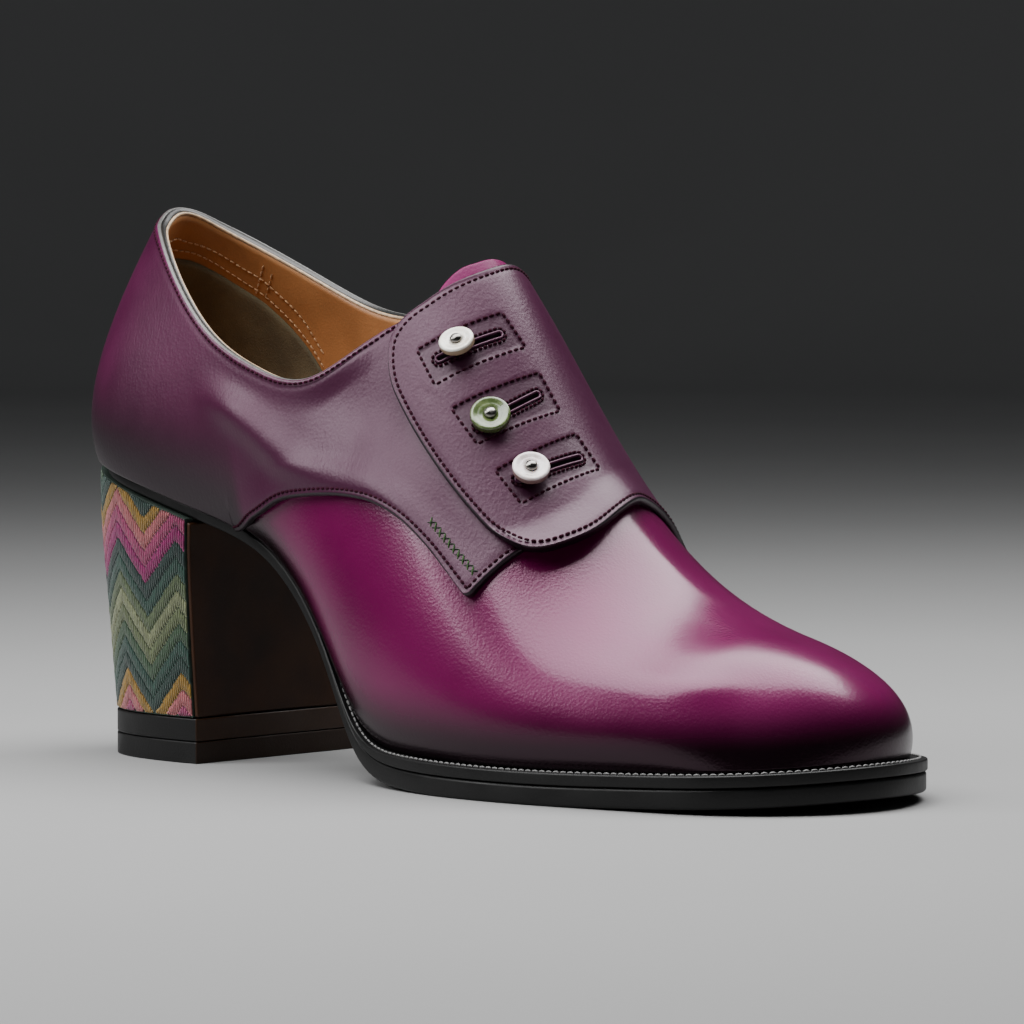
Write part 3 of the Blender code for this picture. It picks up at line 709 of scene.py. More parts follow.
greenPearl = polishedMaterial(
    "green_pearl", pearlLook, (0.125, 0.170, 0.055), (0.060, 0.092, 0.026), (0.045, 0.064, 0.016))
pinkPearl = polishedMaterial(
    "pink_pearl", pearlLook, (0.90, 0.83, 0.83), (0.70, 0.60, 0.58), (0.22, 0.13, 0.12))
pinMetal = polishedMaterial("pin_metal", metalLook, (0.30, 0.29, 0.27), (0.18, 0.17, 0.16))
print("materials made")


# Fuller shoulder on the vamp's outer side, between ball and toe
shoulderSizes = {"height": 0.75, "share": 0.45, "width": 0.09, "start": (8.6, 9.7), "end": (10.2, 11.4)}


def vampShoulder(v, t):
    size = shoulderSizes
    window = smooth(v, *size["start"]) * (1 - smooth(v, *size["end"]))
    return size["height"] * window * np.exp(-((t - size["share"]) / size["width"]) ** 2)


# Top of the toe round the end of the ridge, laid on a smooth face that is fitted to its surroundings
toeSizes = {"centre": (200.0, 1.0), "fit": (7.0, 18.0), "keep": (6.0, 15.0), "power": 3, "point": 0.8}


def smoothToe(points):
    size = toeSizes
    flat = points.reshape(-1, 3).copy()
    x, y = (flat[:, :2] - size["centre"]).T / size["fit"][1]
    away = np.hypot(x, y) * size["fit"][1]
    powers = [(i, j) for i in range(size["power"] + 1) for j in range(size["power"] + 1 - i)]
    terms = np.stack([x ** i * y ** j for i, j in powers], 1)
    around = (away > size["fit"][0]) & (away < size["fit"][1])
    shares = np.linalg.lstsq(terms[around], flat[around, 2], rcond=None)[0]
    flat[:, 2] += (1 - smooth(away, *size["keep"])) * (terms @ shares - flat[:, 2])
    flat[away < size["point"]] = [*size["centre"], shares[0]]
    return flat.reshape(points.shape)


# Vamp and back wall: the face of the last from the welt to the collar
vampSizes = {"columns": 364, "levels": 76, "tuckIn": 1.3, "tuckDown": 0.5, "thickness": 0.8}


def makeVamp():
    v = np.linspace(0, ringLength, vampSizes["columns"] + 1)[:, None]
    s = section(v)
    level = np.linspace(0, 1, vampSizes["levels"])[None, :]
    t = s["collar"] * level
    normals = outward(v, t)
    points = smoothToe(last(v, t) + normals * vampShoulder(v, t)[..., None])
    low = borderDistances(points)[0]
    aim = np.stack([np.cos(s["angle"]), np.sin(s["angle"]), 0 * s["angle"]], -1)
    tucked = points[:, :1] - aim * vampSizes["tuckIn"] - np.array([0, 0, vampSizes["tuckDown"]])
    points = np.concatenate([tucked, points], 1)
    normals = np.concatenate([normals[:, :1], normals], 1)
    low = np.concatenate([low[:, :1], low], 1)
    piece = sheetPiece("vamp", points, normals, {"low": low})
    giveWall(piece, vampSizes["thickness"])
    finishPiece(piece, magentaLeather, "vamp_leather", "upper")


makeVamp()
print("vamp made")


# Quarters: strips between a top edge and a lower edge, each point by section number and share of the
# girth. On the inner strip a share over 1 has crossed the ridge, where the strip becomes the flap.
outerStrip = columns("topSection topShare lowSection lowShare", [
    [0.0, 0.820, 0.0, 0.0],
    [1.0, 0.775, 1.0, 0.0],
    [2.0, 0.730, 2.0, 0.0],
    [3.0, 0.580, 3.0, 0.0],
    [3.6, 0.536, 3.65, 0.0],
    [4.2, 0.530, 4.2, 0.160],
    [4.7, 0.544, 4.7, 0.297],
    [5.2, 0.588, 5.2, 0.385],
    [5.77, 0.670, 5.75, 0.450],
    [6.1, 0.723, 6.3, 0.486],
    [6.5, 0.800, 6.8, 0.497],
    [7.0, 0.855, 7.25, 0.490],
    [7.5, 0.870, 7.58, 0.474],
    [8.42, 0.790, 7.90, 0.452],
])
innerStrip = columns("topSection topShare lowSection lowShare", [
    [0.0, 0.820, 0.0, 0.0],
    [1.0, 0.775, 1.0, 0.0],
    [2.0, 0.730, 2.0, 0.0],
    [3.0, 0.630, 3.0, 0.0],
    [3.7, 0.614, 3.65, 0.0],
    [4.4, 0.631, 4.5, 0.240],
    [5.0, 0.662, 5.3, 0.400],
    [5.5, 0.705, 6.1, 0.475],
    [5.9, 0.745, 7.0, 0.505],
    [6.2, 0.778, 8.1, 0.500],
    [6.42, 0.815, 8.22, 0.640],
    [6.62, 0.875, 8.32, 0.790],
    [6.76, 0.950, 8.43, 0.930],
    [6.80, 1.030, 8.53, 1.060],
    [6.72, 1.100, 8.55, 1.170],
    [6.50, 1.187, 8.45, 1.274],
    [6.28, 1.255, 8.30, 1.342],
    [6.20, 1.318, 8.05, 1.387],
])
quarterSizes = {
    "edgeRadius": 0.8, "thickness": 1.6, "stripHeight": 50, "stripLength": 210, "flapShare": 0.82,
    "outerRows": 230, "outerCols": 80, "innerRows": 90, "flapRows": 170, "innerCols": 100, "flapFrom": 0.52,
    "riseWidth": 11.0, "outerRise": 0.7, "flapRise": 1.7, "riseShares": (0.8, 1.05), "edgeWall": 0.6,
    "seatReach": 60.0, "seatShare": 0.25, "boxDepth": 0.2, "bow": 0.028, "bowFrom": 0.75,
    "climb": (0.88, 1.11), "cornerOuter": 3.0, "cornerTop": 8.0, "cornerLow": 7.0, "cornerFrom": 0.72,
}
seamSizes = {
    "inset": 1.6, "toplineInset": 0.75, "groove": 0.14, "bed": 0.6, "width": 0.7, "step": 0.4, "clear": 0.94,
    "probe": 5,
}
buttonTable = columns("section share endSection endShare behind radius tilt raise", [
    [6.97, 0.796, 7.18, 0.888, 5.2, 4.2, 22, 1.3],
    [7.47, 0.768, 7.63, 0.902, 3.0, 4.7, 8, 0.5],
    [7.94, 0.776, 8.09, 0.922, 3.0, 4.4, 12, 0.8],
])
quarterThread = {"pitch": 1.65, "length": 1.22, "radius": 0.36, "arch": 0.12, "sink": 0.06}


# Places over a strip, from the rows (by point) and the shares of its height
def stripPlaces(table, rows, cols):
    edge = throughRows(table, rows.ravel() * (len(table["topShare"]) - 1))
    edge = {name: value.reshape(rows.shape) for name, value in edge.items()}
    u = between(edge["lowSection"], edge["topSection"], cols)
    w = between(edge["lowShare"], edge["topShare"], cols)
    return np.maximum(u, 0), np.maximum(w, 0)


# Rows of a strip drawn back towards its front corners
def drawnBack(rows, pull):
    near = smooth(rows, quarterSizes["cornerFrom"], 1)[:, None]
    return rows[:, None] - pull / quarterSizes["stripLength"] * near


def flapClimb(w):
    return smooth(w, *quarterSizes["climb"]) * quarterLift


# The quarter's face: the last moved out by its lift, rounded off at the cut edges, with a shallow
# groove under each line of stitches. "low" and "top" say where those edges are cut, "rise" how far the
# low edge stands off. The mark "edge" is the distance from a painted edge.
def quarterSheet(points, lift, normals, low, top, rise):
    size = quarterSizes
    fromLow, fromTop, _, fromEnd = borderDistances(points)
    stand = rise * low * (1 - smooth(fromLow, 0, size["riseWidth"]))
    lift = lift + stand
    edge = np.minimum(np.minimum(fromLow, fromTop), fromEnd)
    cutLow = np.where(low, fromLow, farAway)
    paint = np.minimum(np.minimum(cutLow, np.where(top, fromTop, farAway)), fromEnd)
    seam = np.minimum(np.minimum(cutLow, fromTop), fromEnd) - seamSizes["inset"]
    groove = seamSizes["groove"] * np.exp(-(seam / seamSizes["width"]) ** 2)

    def liftedBy(height):
        return points + normals * height[..., None]

    return {
        "points": liftedBy(lift - edgeDrop(edge, size["edgeRadius"]) - groove), "normals": normals,
        "base": liftedBy(lift - seamSizes["bed"] * seamSizes["groove"]),
        "inner": liftedBy(lift - size["thickness"] - size["edgeWall"] * stand), "edge": paint,
        "low": low[:, 0], "topCut": np.broadcast_to(top, low.shape)[:, 0].astype(float), "fromLow": fromLow,
    }


def quarterPiece(side, sheet, share, marks):
    # The mark "low" for the painted shade: distance from the low edge at the heel seat, pushed far off where
    # the edge rises
    seat = sheet["fromLow"] + quarterSizes["seatReach"] * smooth(share, 0, quarterSizes["seatShare"])
    piece = wallPiece(side + "_quarter_leather", sheet["points"], sheet["inner"], sheet["normals"],
                      {"edge": sheet["edge"], "low": seat, **marks})
    finishPiece(piece, plumLeather, "quarter_leather", side + "_quarter")
    return sheet


# Soft fold along the waist of the outer quarter: a ridge under the line of the table and a trough over
# it, gone at the edges
foldLine = columns("v t", [[3.2, 0.46], [3.9, 0.46], [4.55, 0.46], [5.4, 0.48], [6.35, 0.52], [7.2, 0.53]])
foldSizes = {
    "height": 1.9, "troughShare": 0.6, "ridgeAt": -0.055, "ridgeWidth": 0.050, "troughAt": 0.10,
    "troughWidth": 0.060, "fromTop": 9.0, "fromLow": 8.0, "start": (3.0, 4.0), "end": (6.6, 7.3),
}


def waistFold(u, t, fromTop, fromLow):
    size = foldSizes
    over = t - np.interp(u, foldLine["v"], foldLine["t"])
    ridge = np.exp(-((over - size["ridgeAt"]) / size["ridgeWidth"]) ** 2)
    trough = np.exp(-((over - size["troughAt"]) / size["troughWidth"]) ** 2)
    window = smooth(u, *size["start"]) * (1 - smooth(u, *size["end"]))
    kept = smooth(fromTop, 0, size["fromTop"]) * smooth(fromLow, 0, size["fromLow"])
    return size["height"] * (ridge - size["troughShare"] * trough) * window * kept


def makeOuterQuarter():
    size = quarterSizes
    rows = edgeAxis(np.linspace(0, 1, size["outerRows"]), size["stripLength"])
    cols = edgeAxis(np.linspace(0, 1, size["outerCols"]), size["stripHeight"])
    pull = edgeDrop(cols * size["stripHeight"], size["cornerOuter"])
    u, t = stripPlaces(outerStrip, drawnBack(rows, pull), cols)
    points = last(u, t)
    fromLow, fromTop = borderDistances(points)[:2]
    lift = quarterLift + waistFold(u, t, fromTop, fromLow)
    sheet = quarterSheet(points, lift, outward(u, t), t[:, :1] > 0, False, size["outerRise"])
    return quarterPiece("lateral", sheet, t[:, :1], {})


def makeInnerQuarter():
    size = quarterSizes
    even = np.concatenate([np.linspace(0, size["flapFrom"], size["innerRows"])[:-1],
                           np.linspace(size["flapFrom"], 1, size["flapRows"])])
    rows = edgeAxis(even, size["stripLength"])
    cols = edgeAxis(np.linspace(0, 1, size["innerCols"]), size["stripHeight"])
    pull = edgeDrop((1 - cols) * size["stripHeight"], size["cornerTop"])
    pull = pull + edgeDrop(cols * size["stripHeight"], size["cornerLow"])
    grid = drawnBack(rows, pull)
    u, w = stripPlaces(innerStrip, grid, cols)
    w = w + size["bow"] * (4 * cols * (1 - cols) * smooth(grid, size["bowFrom"], 1))
    v, t = ridgePlace(u, w)
    flap = w[:, -1:] > size["flapShare"]
    rise = size["flapRise"] * smooth(w[:, :1], *size["riseShares"])
    sheet = quarterSheet(last(v, t), quarterLift + flapClimb(w), outward(v, t), w[:, :1] > 0, flap, rise)
    slot = slotDepth(sheet["base"])
    box = boxShare(sheet["base"])
    dent = slot * slotSizes["depth"] + box * size["boxDepth"] + wrinkleDepth(sheet["base"])
    sheet["points"] = sheet["points"] - sheet["normals"] * dent[..., None]
    return quarterPiece("medial", sheet, w[:, :1], {"slot": slot, "box": box})


# Seam path inside a strip's low edge, end and top edge: the border moved inwards over the face, less
# the points that come too near another part of the border
def seamPath(sheet):
    base = sheet["base"]
    first = int(np.argmax(sheet["low"]))
    cut = np.concatenate([sheet["low"][first:], np.ones(base.shape[1] - 2), sheet["topCut"][::-1]])

    def along(grid):
        return np.concatenate([grid[first:, 0], grid[-1, 1:-1], grid[::-1, -1]])

    border = along(base)
    run = runLength(border)
    even = np.arange(0, run[-1], seamSizes["step"])
    path = alongPath(even, run, border)
    facing = unit(alongPath(even, run, along(sheet["normals"])))
    inward = unit(np.cross(facing, unit(np.gradient(path, axis=0))))
    probe = len(border) // seamSizes["probe"]
    inside = np.sum(np.cross(facing[probe], path[probe + 1] - path[probe])
                    * (base[first:, base.shape[1] // 2].mean(0) - path[probe]))
    inset = between(seamSizes["toplineInset"], seamSizes["inset"], np.interp(even, run, cut))
    moved = path + inward * (inset * np.sign(inside))[:, None]
    near = np.min(np.linalg.norm(moved[:, None] - path[None, ::2], axis=-1), 1)
    kept = near > seamSizes["clear"] * inset
    return moved[kept], facing[kept]


# Point of the flap on the outer side, by section number and girth share
def onFlap(u, t, lift=0.0):
    return onLast(u, t, quarterLift + flapClimb(2 - np.asarray(t, float)) + lift)


# Buttonholes: a slot with raised lips inside a box of stitches. A place near a button is given along
# the hole (x) and across it (y), turned into section number and girth share by the local slopes.
boxTable = columns("u1 t1 u2 t2 u3 t3 u4 t4", [
    [6.59, 0.735, 7.08, 0.916, 7.35, 0.928, 6.90, 0.717],
    [7.13, 0.713, 7.52, 0.930, 7.78, 0.934, 7.47, 0.711],
    [7.70, 0.709, 7.94, 0.946, 8.20, 0.960, 8.01, 0.711],
])
slotSizes = {
    "halfWidth": 0.85, "depth": 0.9, "rim": (1.15, 0.35), "reach": 6, "endSteps": 14, "lineSteps": 24,
    "lipRadius": 0.34, "lipLift": -0.02, "lipSides": 10, "lipEdge": 3.0, "stitchOut": 0.95,
}
boxSizes = {"reach": 8, "soft": (-0.3, 0.6), "stitched": (0.01, 0.99), "steps": 40}
boxThread = {"pitch": 1.6, "length": 1.2}
slotThread = {"pitch": 1.25, "length": 0.9}
nearSteps = {"count": 6, "step": 1e-3, "limit": 0.995}
buttonCount = len(buttonTable["section"])


def boxCorners(box):
    return onFlap(*(np.array([box[key + k] for k in "1234"]) for key in "ut"))


# Places on the line between two numbered places of a table's row
def placesBetween(row, first, second, share):
    return [between(row[key + first], row[key + second], share) for key in "ut"]


def buttonFrame(i):
    v = np.array([buttonTable["section"][i], buttonTable["endSection"][i]])
    t = np.array([buttonTable["share"][i], buttonTable["endShare"][i]])
    foot, end = onLast(v, t, np.full(2, 2 * quarterLift))
    out = outward(v, t)[0]
    length = np.linalg.norm(end - foot)
    run = end - foot
    run = unit(run - out * run.dot(out))
    return foot, run, np.cross(out, run), out, length


# Places on the flap nearest to given points, found by steps along the two slopes of the face
def flapNear(points, u, t):
    d = nearSteps["step"]
    for _ in range(nearSteps["count"]):
        slopeU = (onFlap(u + d, t) - onFlap(u - d, t)) / (2 * d)
        slopeT = (onFlap(u, t + d) - onFlap(u, t - d)) / (2 * d)
        away = points - onFlap(u, t)
        a, b, c = (slopeU ** 2).sum(-1), (slopeU * slopeT).sum(-1), (slopeT ** 2).sum(-1)
        p, q = (slopeU * away).sum(-1), (slopeT * away).sum(-1)
        u = u + (p * c - q * b) / (a * c - b * b)
        t = np.minimum(t + (q * a - p * b) / (a * c - b * b), nearSteps["limit"])
    return u, t


def slotPlace(i, x, y):
    foot, run, across = buttonFrame(i)[:3]
    points = foot + run * x[:, None] + across * y[:, None]
    return flapNear(points, *(np.full(x.shape, buttonTable[name][i]) for name in ("section", "share")))


# Outline of a slot with round ends, at a distance out from the hole
def slotOutline(i, grow):
    half = slotSizes["halfWidth"] + grow
    turn = np.linspace(-0.5 * np.pi, 0.5 * np.pi, slotSizes["endSteps"])
    line = np.linspace(0, 1, slotSizes["lineSteps"])[1:-1]
    x0, x1 = -buttonTable["behind"][i], buttonFrame(i)[4]
    back = turn[::-1]
    side = np.full(line.shape, half)
    x = np.concatenate([x1 + half * np.cos(turn), between(x1, x0, line),
                        x0 - half * np.cos(back), between(x0, x1, line)])
    return x, np.concatenate([half * np.sin(turn), side, half * np.sin(back), -side])


# Share of a slot's depth at points of the flap: one on its middle line, none at its lips
def slotDepth(points):
    deepest = np.zeros(points.shape[:-1])
    lips, middle = (share * slotSizes["halfWidth"] for share in slotSizes["rim"])
    for i in range(buttonCount):
        foot, run, across, out, length = buttonFrame(i)
        away = points - foot
        x, y, z = away @ run, away @ across, away @ out
        past = np.maximum(np.maximum(-buttonTable["behind"][i] - x, x - length), 0)
        depth = smooth(np.hypot(past, y), lips, middle)
        deepest = np.maximum(deepest, np.where(np.abs(z) < slotSizes["reach"], depth, 0))
    return deepest


# How far points of the flap are inside a box of stitches: one inside, none outside
def boxShare(points):
    inside = np.zeros(points.shape[:-1])
    for i, box in enumerate(tableRows(boxTable)):
        corners = boxCorners(box)
        middle, out = corners.mean(0), buttonFrame(i)[3]
        nearest = np.full(points.shape[:-1], farAway)
        for a, b in zip(corners, np.roll(corners, -1, 0)):
            side = unit(np.cross(out, b - a))
            nearest = np.minimum(nearest, (points - a) @ side * np.sign(side.dot(middle - a)))
        close = np.abs((points - middle) @ out) < boxSizes["reach"]
        inside = np.maximum(inside, np.where(close, smooth(nearest, *boxSizes["soft"]), 0))
    return inside


# Soft creases in the flap: fans of troughs, each fan from one line of places to another
wrinkleTable = columns("u1 t1 u2 t2 u3 t3 u4 t4 count depth width", [
    [8.10, 0.700, 8.30, 0.860, 8.22, 0.660, 8.44, 0.850, 12, 0.06, 0.50],
    [6.72, 0.690, 6.98, 0.680, 7.00, 0.712, 7.18, 0.705, 5, 0.05, 0.60],
    [6.45, 0.800, 6.62, 0.850, 6.66, 0.790, 6.84, 0.845, 5, 0.05, 0.60],
])


def wrinkleDepth(points):
    total = np.zeros(points.shape[:-1])
    for row in tableRows(wrinkleTable):
        share = np.linspace(0, 1, int(row["count"]))
        starts = onFlap(*placesBetween(row, "1", "2", share))
        ends = onFlap(*placesBetween(row, "3", "4", share))
        for a, b in zip(starts, ends):
            run = b - a
            f = np.clip((points - a) @ run / run.dot(run), 0, 1)
            apart = np.linalg.norm(points - a - f[..., None] * run, axis=-1)
            total += row["depth"] * np.exp(-(apart / row["width"]) ** 2) * np.sqrt(4 * f * (1 - f))
    return total


outerSheet = makeOuterQuarter()
innerSheet = makeInnerQuarter()
seamRows = [stitchesAlong(*seamPath(sheet), quarterThread) for sheet in (outerSheet, innerSheet)]
print("quarters made")


def makeButtonholes():
    rows = []
    share = np.linspace(*boxSizes["stitched"], boxSizes["steps"])
    for i, box in enumerate(tableRows(boxTable)):
        u, t = slotPlace(i, *slotOutline(i, 0.0))
        lip = tubePiece("buttonhole_lip_%d" % (i + 1), onFlap(u, t, slotSizes["lipLift"]), outward(u, t),
                        slotSizes["lipRadius"], slotSizes["lipSides"],
                        {"edge": slotSizes["lipEdge"], "low": farAway})
        finishPiece(lip, plumLeather, "quarter_leather")
        u, t = slotPlace(i, *slotOutline(i, slotSizes["stitchOut"]))
        loop = np.append(np.arange(len(u)), 0)
        rows.append(stitchesAlong(onFlap(u, t)[loop], outward(u, t)[loop], slotThread))
        corners = boxCorners(box)
        for a, b, first, second in zip(corners, np.roll(corners, -1, 0), "1234", "2341"):
            u, t = flapNear(between(a, b, share[:, None]), *placesBetween(box, first, second, share))
            rows.append(stitchesAlong(onFlap(u, t), outward(u, t), boxThread))
    return rows


quarterStitches = joinStitches(seamRows + makeButtonholes())
finishPiece(threadPiece("quarter_stitches", quarterStitches, quarterThread), purpleThread, "quarter_leather")
print("stitches made:", len(quarterStitches[0]))


# Cross stitches that hold the front corners of the quarters to the vamp
crossTable = columns("u1 t1 u2 t2 count", [
    [7.26, 0.532, 7.90, 0.512, 10],
    [18.12, 0.552, 18.64, 0.556, 8],
])
crossSizes = {"half": 1.0, "radius": 0.24, "arch": 0.25, "lift": 0.1, "over": 0.15}


def makeCrossStitches():
    under, over = [], []
    for row in tableRows(crossTable):
        share = (np.arange(row["count"]) + 0.5) / row["count"]
        v, t = placesBetween(row, "1", "2", share)
        middle = onLast(v, t, quarterLift + crossSizes["lift"])
        normal = outward(v, t)
        along = unit(np.gradient(middle, axis=0)) * crossSizes["half"]
        aside = np.cross(normal, unit(along)) * crossSizes["half"]
        under.append((middle - along - aside, middle + along + aside, normal))
        over.append((middle - along + aside, middle + along - aside, normal))
    for name, rows, material, lift in (("cross_stitches_under", under, darkGreenThread, 0.0),
                                       ("cross_stitches_over", over, greenThread, crossSizes["over"])):
        piece = threadPiece(name, joinStitches(rows), {**crossSizes, "arch": crossSizes["arch"] + lift})
        finishPiece(piece, material, "quarter_leather")


makeCrossStitches()


# Tongue: a sheet under the flap. Its top edge follows the flap's and shows above it.
tongueTop = columns("share section", [
    [0.84, 6.50], [0.88, 6.56], [0.92, 6.62], [0.96, 6.67], [1.00, 6.69],
    [1.05, 6.66], [1.10, 6.57], [1.15, 6.50], [1.19, 6.47],
])
tongueSizes = {
    "rows": 120, "cols": 60, "length": 75, "width": 36, "end": 8.6, "edgeRadius": 0.6, "thickness": 1.5,
    "topDepth": 0.3, "depth": 2.4, "sinkFrom": 0.08, "sinkTo": 0.42,
}


def makeTongue():
    rows = edgeAxis(np.linspace(0, 1, tongueSizes["rows"]), tongueSizes["length"])[:, None]
    cols = edgeAxis(np.linspace(0, 1, tongueSizes["cols"]), tongueSizes["width"])
    edge = throughRows(tongueTop, cols * (len(tongueTop["share"]) - 1))
    u = between(edge["section"], tongueSizes["end"], rows)
    w = np.broadcast_to(edge["share"], u.shape)
    v, t = ridgePlace(u, w)
    points, normals = last(v, t), outward(v, t)
    border = np.min(borderDistances(points), 0)
    sink = smooth(u - edge["section"], tongueSizes["sinkFrom"], tongueSizes["sinkTo"])
    depth = between(tongueSizes["topDepth"], tongueSizes["depth"], sink)
    face = points - normals * (depth + edgeDrop(border, tongueSizes["edgeRadius"]))[..., None]
    back = points - normals * (depth + tongueSizes["thickness"])[..., None]
    piece = wallPiece("tongue_leather", face, back, normals)
    finishPiece(piece, tongueLeather, "vamp_leather", "tongue")


makeTongue()
print("tongue made")


# Inside of the upper: lining, heel grip, seams, and the rolled edges along the topline
liningSizes = {"columns": 260, "levels": 48, "depth": 1.6, "thickness": 0.7, "rim": 0.004, "low": 0.01}
gripTable = columns("v top", [
    [0.0, 0.697], [0.48, 0.686], [0.88, 0.664], [1.27, 0.640], [1.64, 0.616], [1.90, 0.594],
    [2.07, 0.568], [2.25, 0.530], [2.39, 0.490], [2.50, 0.448], [2.58, 0.410],
])
gripSizes = {"columns": 90, "levels": 40, "low": 0.05, "depth": 1.72, "thickness": 0.5, "edgeRadius": 0.45}
facingSeam = columns("v t", [
    [0.0, 0.752], [0.69, 0.724], [1.30, 0.694], [1.70, 0.672], [1.96, 0.652],
    [2.13, 0.624], [2.30, 0.590], [2.43, 0.552], [2.51, 0.514], [2.60, 0.472],
])
facingPosts = columns("u1 t1 u2 t2", [[2.04, 0.692, 1.82, 0.608], [2.14, 0.672, 1.96, 0.600]])
liningThread = {
    "pitch": 1.7, "length": 1.25, "radius": 0.22, "arch": 0.1, "depth": 1.66, "gripOut": 0.022,
    "steps": 200, "postSteps": 30,
}
# Binding of the topline: height over the last, rise over its edge and band (plum, grey, black, cream)
rimTable = columns("height rise band", [
    [1.60, -1.3, 0], [1.72, -0.6, 0], [1.70, -0.1, 0], [1.60, 0.16, 0], [1.52, 0.22, 1], [1.32, 0.42, 1],
    [1.05, 0.52, 1], [0.80, 0.52, 1], [0.72, 0.46, 2], [0.45, 0.30, 2], [0.00, 0.16, 2], [-0.50, 0.12, 2],
    [-0.82, 0.22, 2], [-0.90, 0.30, 3], [-1.10, 0.38, 3], [-1.35, 0.34, 3], [-1.55, 0.16, 3],
    [-1.62, -0.10, 3], [-1.56, -0.30, 3], [-1.40, -0.60, 2], [-0.90, -1.2, 2], [0.60, -1.4, 2],
])
rimSizes = {"reach": 6.55, "steps": 420}
# Band colours: plum fold, a grey band that is a painted highlight on the black edge paint, black edge paint,
# cream lining edge
rimColours = np.array([
    [0.085, 0.004, 0.045, 1], [0.105, 0.105, 0.10, 1], [0.004, 0.005, 0.004, 1], [0.46, 0.33, 0.21, 1],
])


def makeLining():
    v = np.linspace(0, ringLength, liningSizes["columns"] + 1)[:, None]
    collar = section(v)["collar"]
    top = np.where(collar < 1, collar - liningSizes["rim"], 1)
    t = between(liningSizes["low"], top, np.linspace(0, 1, liningSizes["levels"])[None, :])
    points = onLast(v, t, -liningSizes["depth"])
    piece = sheetPiece("lining", points, -outward(v, t))
    giveWall(piece, liningSizes["thickness"])
    finishPiece(piece, tanLining, "lining_leather")


def gripEdge(columnCount):
    half = throughRows(gripTable, np.linspace(0, len(gripTable["v"]) - 1, columnCount))
    v = np.concatenate([-half["v"][:0:-1], half["v"]])
    return v, np.concatenate([half["top"][:0:-1], half["top"]])


def makeHeelGrip():
    size = gripSizes
    v, top = (values[:, None] for values in gripEdge(size["columns"]))
    t = between(size["low"], top, np.linspace(0, 1, size["levels"])[None, :])
    drop = edgeDrop(np.min(borderDistances(last(v, t)), 0), size["edgeRadius"])
    face = onLast(v, t, -size["depth"] - size["thickness"] + drop)
    piece = wallPiece("heel_grip", face, onLast(v, t, -size["depth"]), -outward(v, t))
    finishPiece(piece, oliveSuede, "lining_leather")


def makeLiningStitches():
    v, top = gripEdge(liningThread["steps"])
    paths = [(v, top + liningThread["gripOut"])]
    seam = throughRows(facingSeam, np.linspace(0, len(facingSeam["v"]) - 1, liningThread["steps"]))
    for side in (1, -1):
        paths.append((side * seam["v"], seam["t"]))
        for post in tableRows(facingPosts):
            v, t = placesBetween(post, "1", "2", np.linspace(0, 1, liningThread["postSteps"]))
            paths.append((side * v, t))
    rows = []
    for v, t in paths:
        rows.append(stitchesAlong(onLast(v, t, -liningThread["depth"]), -outward(v, t), liningThread))
    piece = threadPiece("lining_stitches", joinStitches(rows), liningThread)
    finishPiece(piece, tanThread, "lining_leather")


# The binding: its profile swept along the topline
def makeRim():
    v = np.linspace(-rimSizes["reach"], rimSizes["reach"], rimSizes["steps"])
    t = section(v)["collar"]
    normal = outward(v, t)
    edge = last(v, t)
    along = unit(np.gradient(edge, axis=0))
    up = np.cross(normal, along)
    up = up * np.sign(up[:, 2:3])
    out = np.cross(up, along)
    out = out * np.sign(np.sum(out * normal, 1, keepdims=True))
    points = edge[:, None] + out[:, None] * rimTable["height"][:, None]
    points = points + up[:, None] * rimTable["rise"][:, None]
    tint = np.broadcast_to(rimColours[rimTable["band"].astype(int)], points.shape[:2] + (4,))
    piece = loftPiece("topline_binding", points, {"thread": tint})
    finishPiece(piece, bindingLeather, "lining_leather")


makeLining()
makeHeelGrip()
makeLiningStitches()
makeRim()
print("inside made")


# Plates under the foot: insole, welt and outsole. Each runs from the middle line out to its edge,
# round a small radius, down the side and back underneath.
plateSizes = {
    "perSection": 14, "across": 16, "corner": 5, "insoleInset": 2.4, "insoleLift": 0.15, "insoleThick": 1.9,
    "soleInset": 0.3, "treadFlat": 0.1, "insoleEdge": 0.6, "weltEdge": 0.45, "soleEdge": 0.8,
    "edgeLimit": 0.45,
}


def seat(x):
    return seatPlane["back"] - seatPlane["slope"] * x


# Half of a plate's section at each station: shares from the middle line to the edge, with the drop of
# the rounded edge, for the upper face and then the lower one
def plateHalf(v, grow, top, bottom, radius):
    level = np.minimum(toeRow - np.abs(v % ringLength - toeRow), lastRows["level"])
    middle = 0.5 * (section(level)["foot"] + section(ringLength - level)["foot"])[:, None]
    s = {key: value[:, None] for key, value in section(v).items()}
    reach = s["edge"] + grow(s)
    edgeX = s["x"] + reach * np.cos(s["angle"])
    edgeY = s["y"] + reach * np.sin(s["angle"])
    spineX = np.clip(s["x"], seatPlane["heelFan"], seatPlane["toeFan"])
    thick = top(s, 0 * middle) - bottom(s, 0 * middle)
    small = np.minimum(radius, plateSizes["edgeLimit"] * thick)
    turn = np.linspace(0, 0.5 * np.pi, plateSizes["corner"])[None, :]
    inner = np.linspace(0, 1, plateSizes["across"])[None, :-1] * (1 - small / reach)
    share = np.concatenate([inner, 1 - small / reach * (1 - np.sin(turn))], 1)
    drop = np.concatenate([0 * inner, small * (1 - np.cos(turn))], 1)
    x = between(spineX, edgeX, share)
    y = edgeY * share
    spine = np.where(spineX <= seatPlane["end"], seat(spineX), middle)
    foot = np.where(x <= seatPlane["end"], seat(x), between(spine, s["foot"], share))
    upper = np.stack([x, y, top(s, foot) - drop], -1)
    lower = np.stack([x, y, bottom(s, foot) + drop], -1)
    return upper, lower


